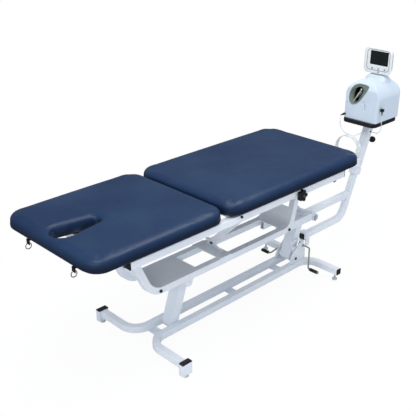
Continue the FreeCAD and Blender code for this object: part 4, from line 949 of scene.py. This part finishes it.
def glide(name):
    """A levelling glide: a steel foot, a lock nut and a threaded stem."""
    node = "glide_" + name
    thread_pitch = 1.6
    middle = centre_of(node)
    base = Vector((middle.x, middle.y, 0.0))
    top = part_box(node)[1][2] / MM
    profile = [(0.0, 0.0), (14.0, 0.0), (15.0, 1.0), (15.0, 7.0), (13.6, 8.6), (8.2, 9.6), (8.2, 15.6), (5.0, 16.4)]
    for k in range(int((top - 18.0) / thread_pitch)):
        profile += [(4.5, 17.0 + thread_pitch * k), (5.0, 17.8 + thread_pitch * k)]
    profile += [(4.2, top), (0.0, top)]
    dress(turned("levelling_" + name, profile, base, (0, 0, 1)), node + "_body", "bright_steel", node,
          finish="glide_zinc")


def lobed_knob():
    """The lock knob with rounded lobes and a steel insert in its face."""
    knob = eased("lobed_knob", "lock_knob", 2.6, 35.0, 4)
    dress(knob, "lock", "black_plastic", "lock_knob")
    low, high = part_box("lock_knob")
    face = Vector(((low[0] + high[0]) / 2, low[1], (low[2] + high[2]) / 2))
    insert = turned("knob_insert", [(0.0, 0.6), (6.4, 0.6), (7.6, 0.0), (8.4, -0.8), (8.4, -3.0), (0.0, -3.0)],
                    face + Vector((0, 0.5 * MM, 0)), (0, -1, 0))
    dress(insert, "lock", "bright_steel")


def pivot_cap():
    """The dark cap over the lower pivot bolt's head on each side."""
    for side, name in ((-1, "near"), (1, "far")):
        seat = at(1608, side * 60.4, 104)
        cap = turned("pivot_cap_" + name, [(9.2, 0.0), (9.2, 7.6), (8.0, 9.2), (6.0, 9.4), (4.6, 8.2), (0.0, 8.0),
                                           (0.0, 0.0)][::-1], seat, (0, side, 0), 12)
        dress(cap, "base", "black_plastic")


def pin_domes():
    """Painted domes over the ends of the flush pivot pins."""
    profile = [(0.0, 0.0), (10.0, 0.0), (9.6, 0.5), (7.4, 1.5), (4.0, 2.2), (0.0, 2.4)]
    for name, x, y, z, body in (("top_head", 753.1, 70.0, 289.6, "lift_frame"),
                                ("top_mast", 1683.1, 70.0, 335.1, "lift_frame"),
                                ("base_head", 678.0, 73.0, 58.5, "base")):
        for side, which in ((-1, "near"), (1, "far")):
            dome = turned("pin_dome_" + name + "_" + which, profile, at(x, side * y, z), (0, side, 0), 24)
            dress(dome, body, "frame_paint")


def strain_reliefs():
    """Tapered sleeves where the leads leave the plugs and the hand switch."""
    for name, place, axis, length, fine in (("relief_plug", at(2213.5, 106, 817), (-1, 0, -0.05), 14.0, 3.1),
                                            ("relief_switch", at(2126.9, 66, 497), (0, 0, 1), 18.0, 3.1),
                                            ("relief_socket", at(2279, -132, 863), (0.03, -0.03, -1), 16.0, 2.5)):
        profile = [(0.0, 0.0), (fine + 1.6, 0.0)]
        for k in range(4):
            share = (k + 0.5) / 4
            wide = fine + 1.5 * (1 - share)
            profile += [(wide, length * (share - 0.09)), (wide - 0.5, length * share),
                        (wide - 0.1, length * (share + 0.06))]
        profile += [(fine, length), (0.0, length)]
        dress(turned(name, profile, place, axis, 20), "upper_mast", "black_plastic")


ribbed("crank_handle", "crank_grip", "grip", "black_plastic", 9, 4.6)
ribbed("pedal_grip", "pedal_sleeve", "pedal", "black_rubber", 8, 4.5)
for corner_name in ("head_near", "head_far", "mast_near", "mast_far"):
    glide(corner_name)
lobed_knob()
pivot_cap()
pin_domes()
strain_reliefs()


# Floor and light

def stage(in_gloss):
    """A plain white floor that keeps a faint shadow, with faint painted shade around the table, in a white surround.
    """
    shape = bmesh.new()
    bmesh.ops.create_grid(shape, x_segments=1, y_segments=1, size=30.0)
    floor = mesh_piece("floor", shape)
    made = bpy.data.materials.new("floor_white")
    made.use_nodes = True
    tree = made.node_tree
    paint = tree.nodes["Principled BSDF"]
    paint.inputs["Base Color"].default_value = (0.96, 0.96, 0.97, 1.0)
    paint.inputs["Roughness"].default_value = 0.9
    rays = add_node(tree, "ShaderNodeLightPath").outputs
    either = {"operation": "MAXIMUM"}
    direct = add_node(tree, "ShaderNodeMath", either, rays["Is Camera Ray"], rays["Is Glossy Ray"])
    clear = add_node(tree, "ShaderNodeMath", either, direct.outputs[0], rays["Is Transmission Ray"])
    here = add_node(tree, "ShaderNodeTexCoord").outputs["Object"]
    # Painted shade: near the table the white thins to 0.93, so the lit floor shows the real shadow and also a faint
    # darker ellipse.
    spread = add_node(tree, "ShaderNodeMapping", Vector=here, Scale=(1 / 1.6, 1 / 0.8, 1.0))
    reach = add_node(tree, "ShaderNodeVectorMath", {"operation": "LENGTH"}, spread.outputs["Vector"])
    shadow_and_painted_shade_fade = add_node(tree, "ShaderNodeMapRange", Value=reach.outputs["Value"], From_Min=0.5, From_Max=2.0, To_Min=0.93,
                    To_Max=1.0)
    seen = add_node(tree, "ShaderNodeMath", {"operation": "MULTIPLY"}, clear.outputs[0], shadow_and_painted_shade_fade.outputs["Result"])
    level = add_node(tree, "ShaderNodeMapRange", Value=rays["Is Glossy Ray"], To_Min=1.0, To_Max=in_gloss)
    white = add_node(tree, "ShaderNodeEmission", Color=(1.0, 1.0, 1.0, 1.0), Strength=level.outputs["Result"])
    mix = add_node(tree, "ShaderNodeMixShader", (), seen.outputs[0], paint.outputs[0], white.outputs[0])
    tree.links.new(mix.outputs[0], tree.nodes["Material Output"].inputs["Surface"])
    floor.data.materials.append(made)


def white_surround(strength, in_gloss):
    """White behind the object, a plain bluish sky on it, and a dimmer one in its gloss."""
    world = bpy.data.worlds.new("studio")
    world.use_nodes = True
    tree = world.node_tree
    sky = tree.nodes["Background"]
    sky.inputs["Color"].default_value = (0.9, 0.95, 1.0, 1.0)
    rays = add_node(tree, "ShaderNodeLightPath").outputs
    level = add_node(tree, "ShaderNodeMapRange", Value=rays["Is Glossy Ray"], To_Min=strength, To_Max=in_gloss)
    tree.links.new(level.outputs["Result"], sky.inputs["Strength"])
    white = add_node(tree, "ShaderNodeBackground", Color=(1.0, 1.0, 1.0, 1.0), Strength=1.0)
    clear = add_node(tree, "ShaderNodeMath", {"operation": "MAXIMUM"}, rays["Is Camera Ray"],
                     rays["Is Transmission Ray"])
    mix = add_node(tree, "ShaderNodeMixShader", (), clear.outputs[0], sky.outputs[0], white.outputs[0])
    tree.links.new(mix.outputs[0], tree.nodes["World Output"].inputs["Surface"])
    bpy.context.scene.world = world


def soft_lamp(name, place, target, size, power, colour):
    """A rectangular lamp at a place, turned to a target."""
    data = bpy.data.lights.new(name, "AREA")
    data.shape = "RECTANGLE"
    data.size, data.size_y = size
    data.energy = power
    data.color = colour
    lamp = new_object(name, data)
    lamp.location = place
    lamp.rotation_euler = (Vector(target) - Vector(place)).to_track_quat("-Z", "Y").to_euler()


stage(0.12)
white_surround(0.84, 0.24)
soft_lamp("overhead", (0.6, -0.4, 3.6), (0.1, 0.0, 0.4), (2.6, 1.6), 50.0, (1.0, 1.0, 0.96))
soft_lamp("front", (-3.6, -1.6, 1.8), (0.0, 0.0, 0.5), (2.4, 1.8), 18.0, (0.94, 0.97, 1.0))
soft_lamp("corner_key", (-1.8, -1.1, 3.4), (-0.9, -0.3, 0.8), (0.9, 0.6), 20.0, (0.97, 0.99, 1.0))
bpy.context.scene.view_settings.view_transform = "Standard"

bpy.context.view_layer.update()
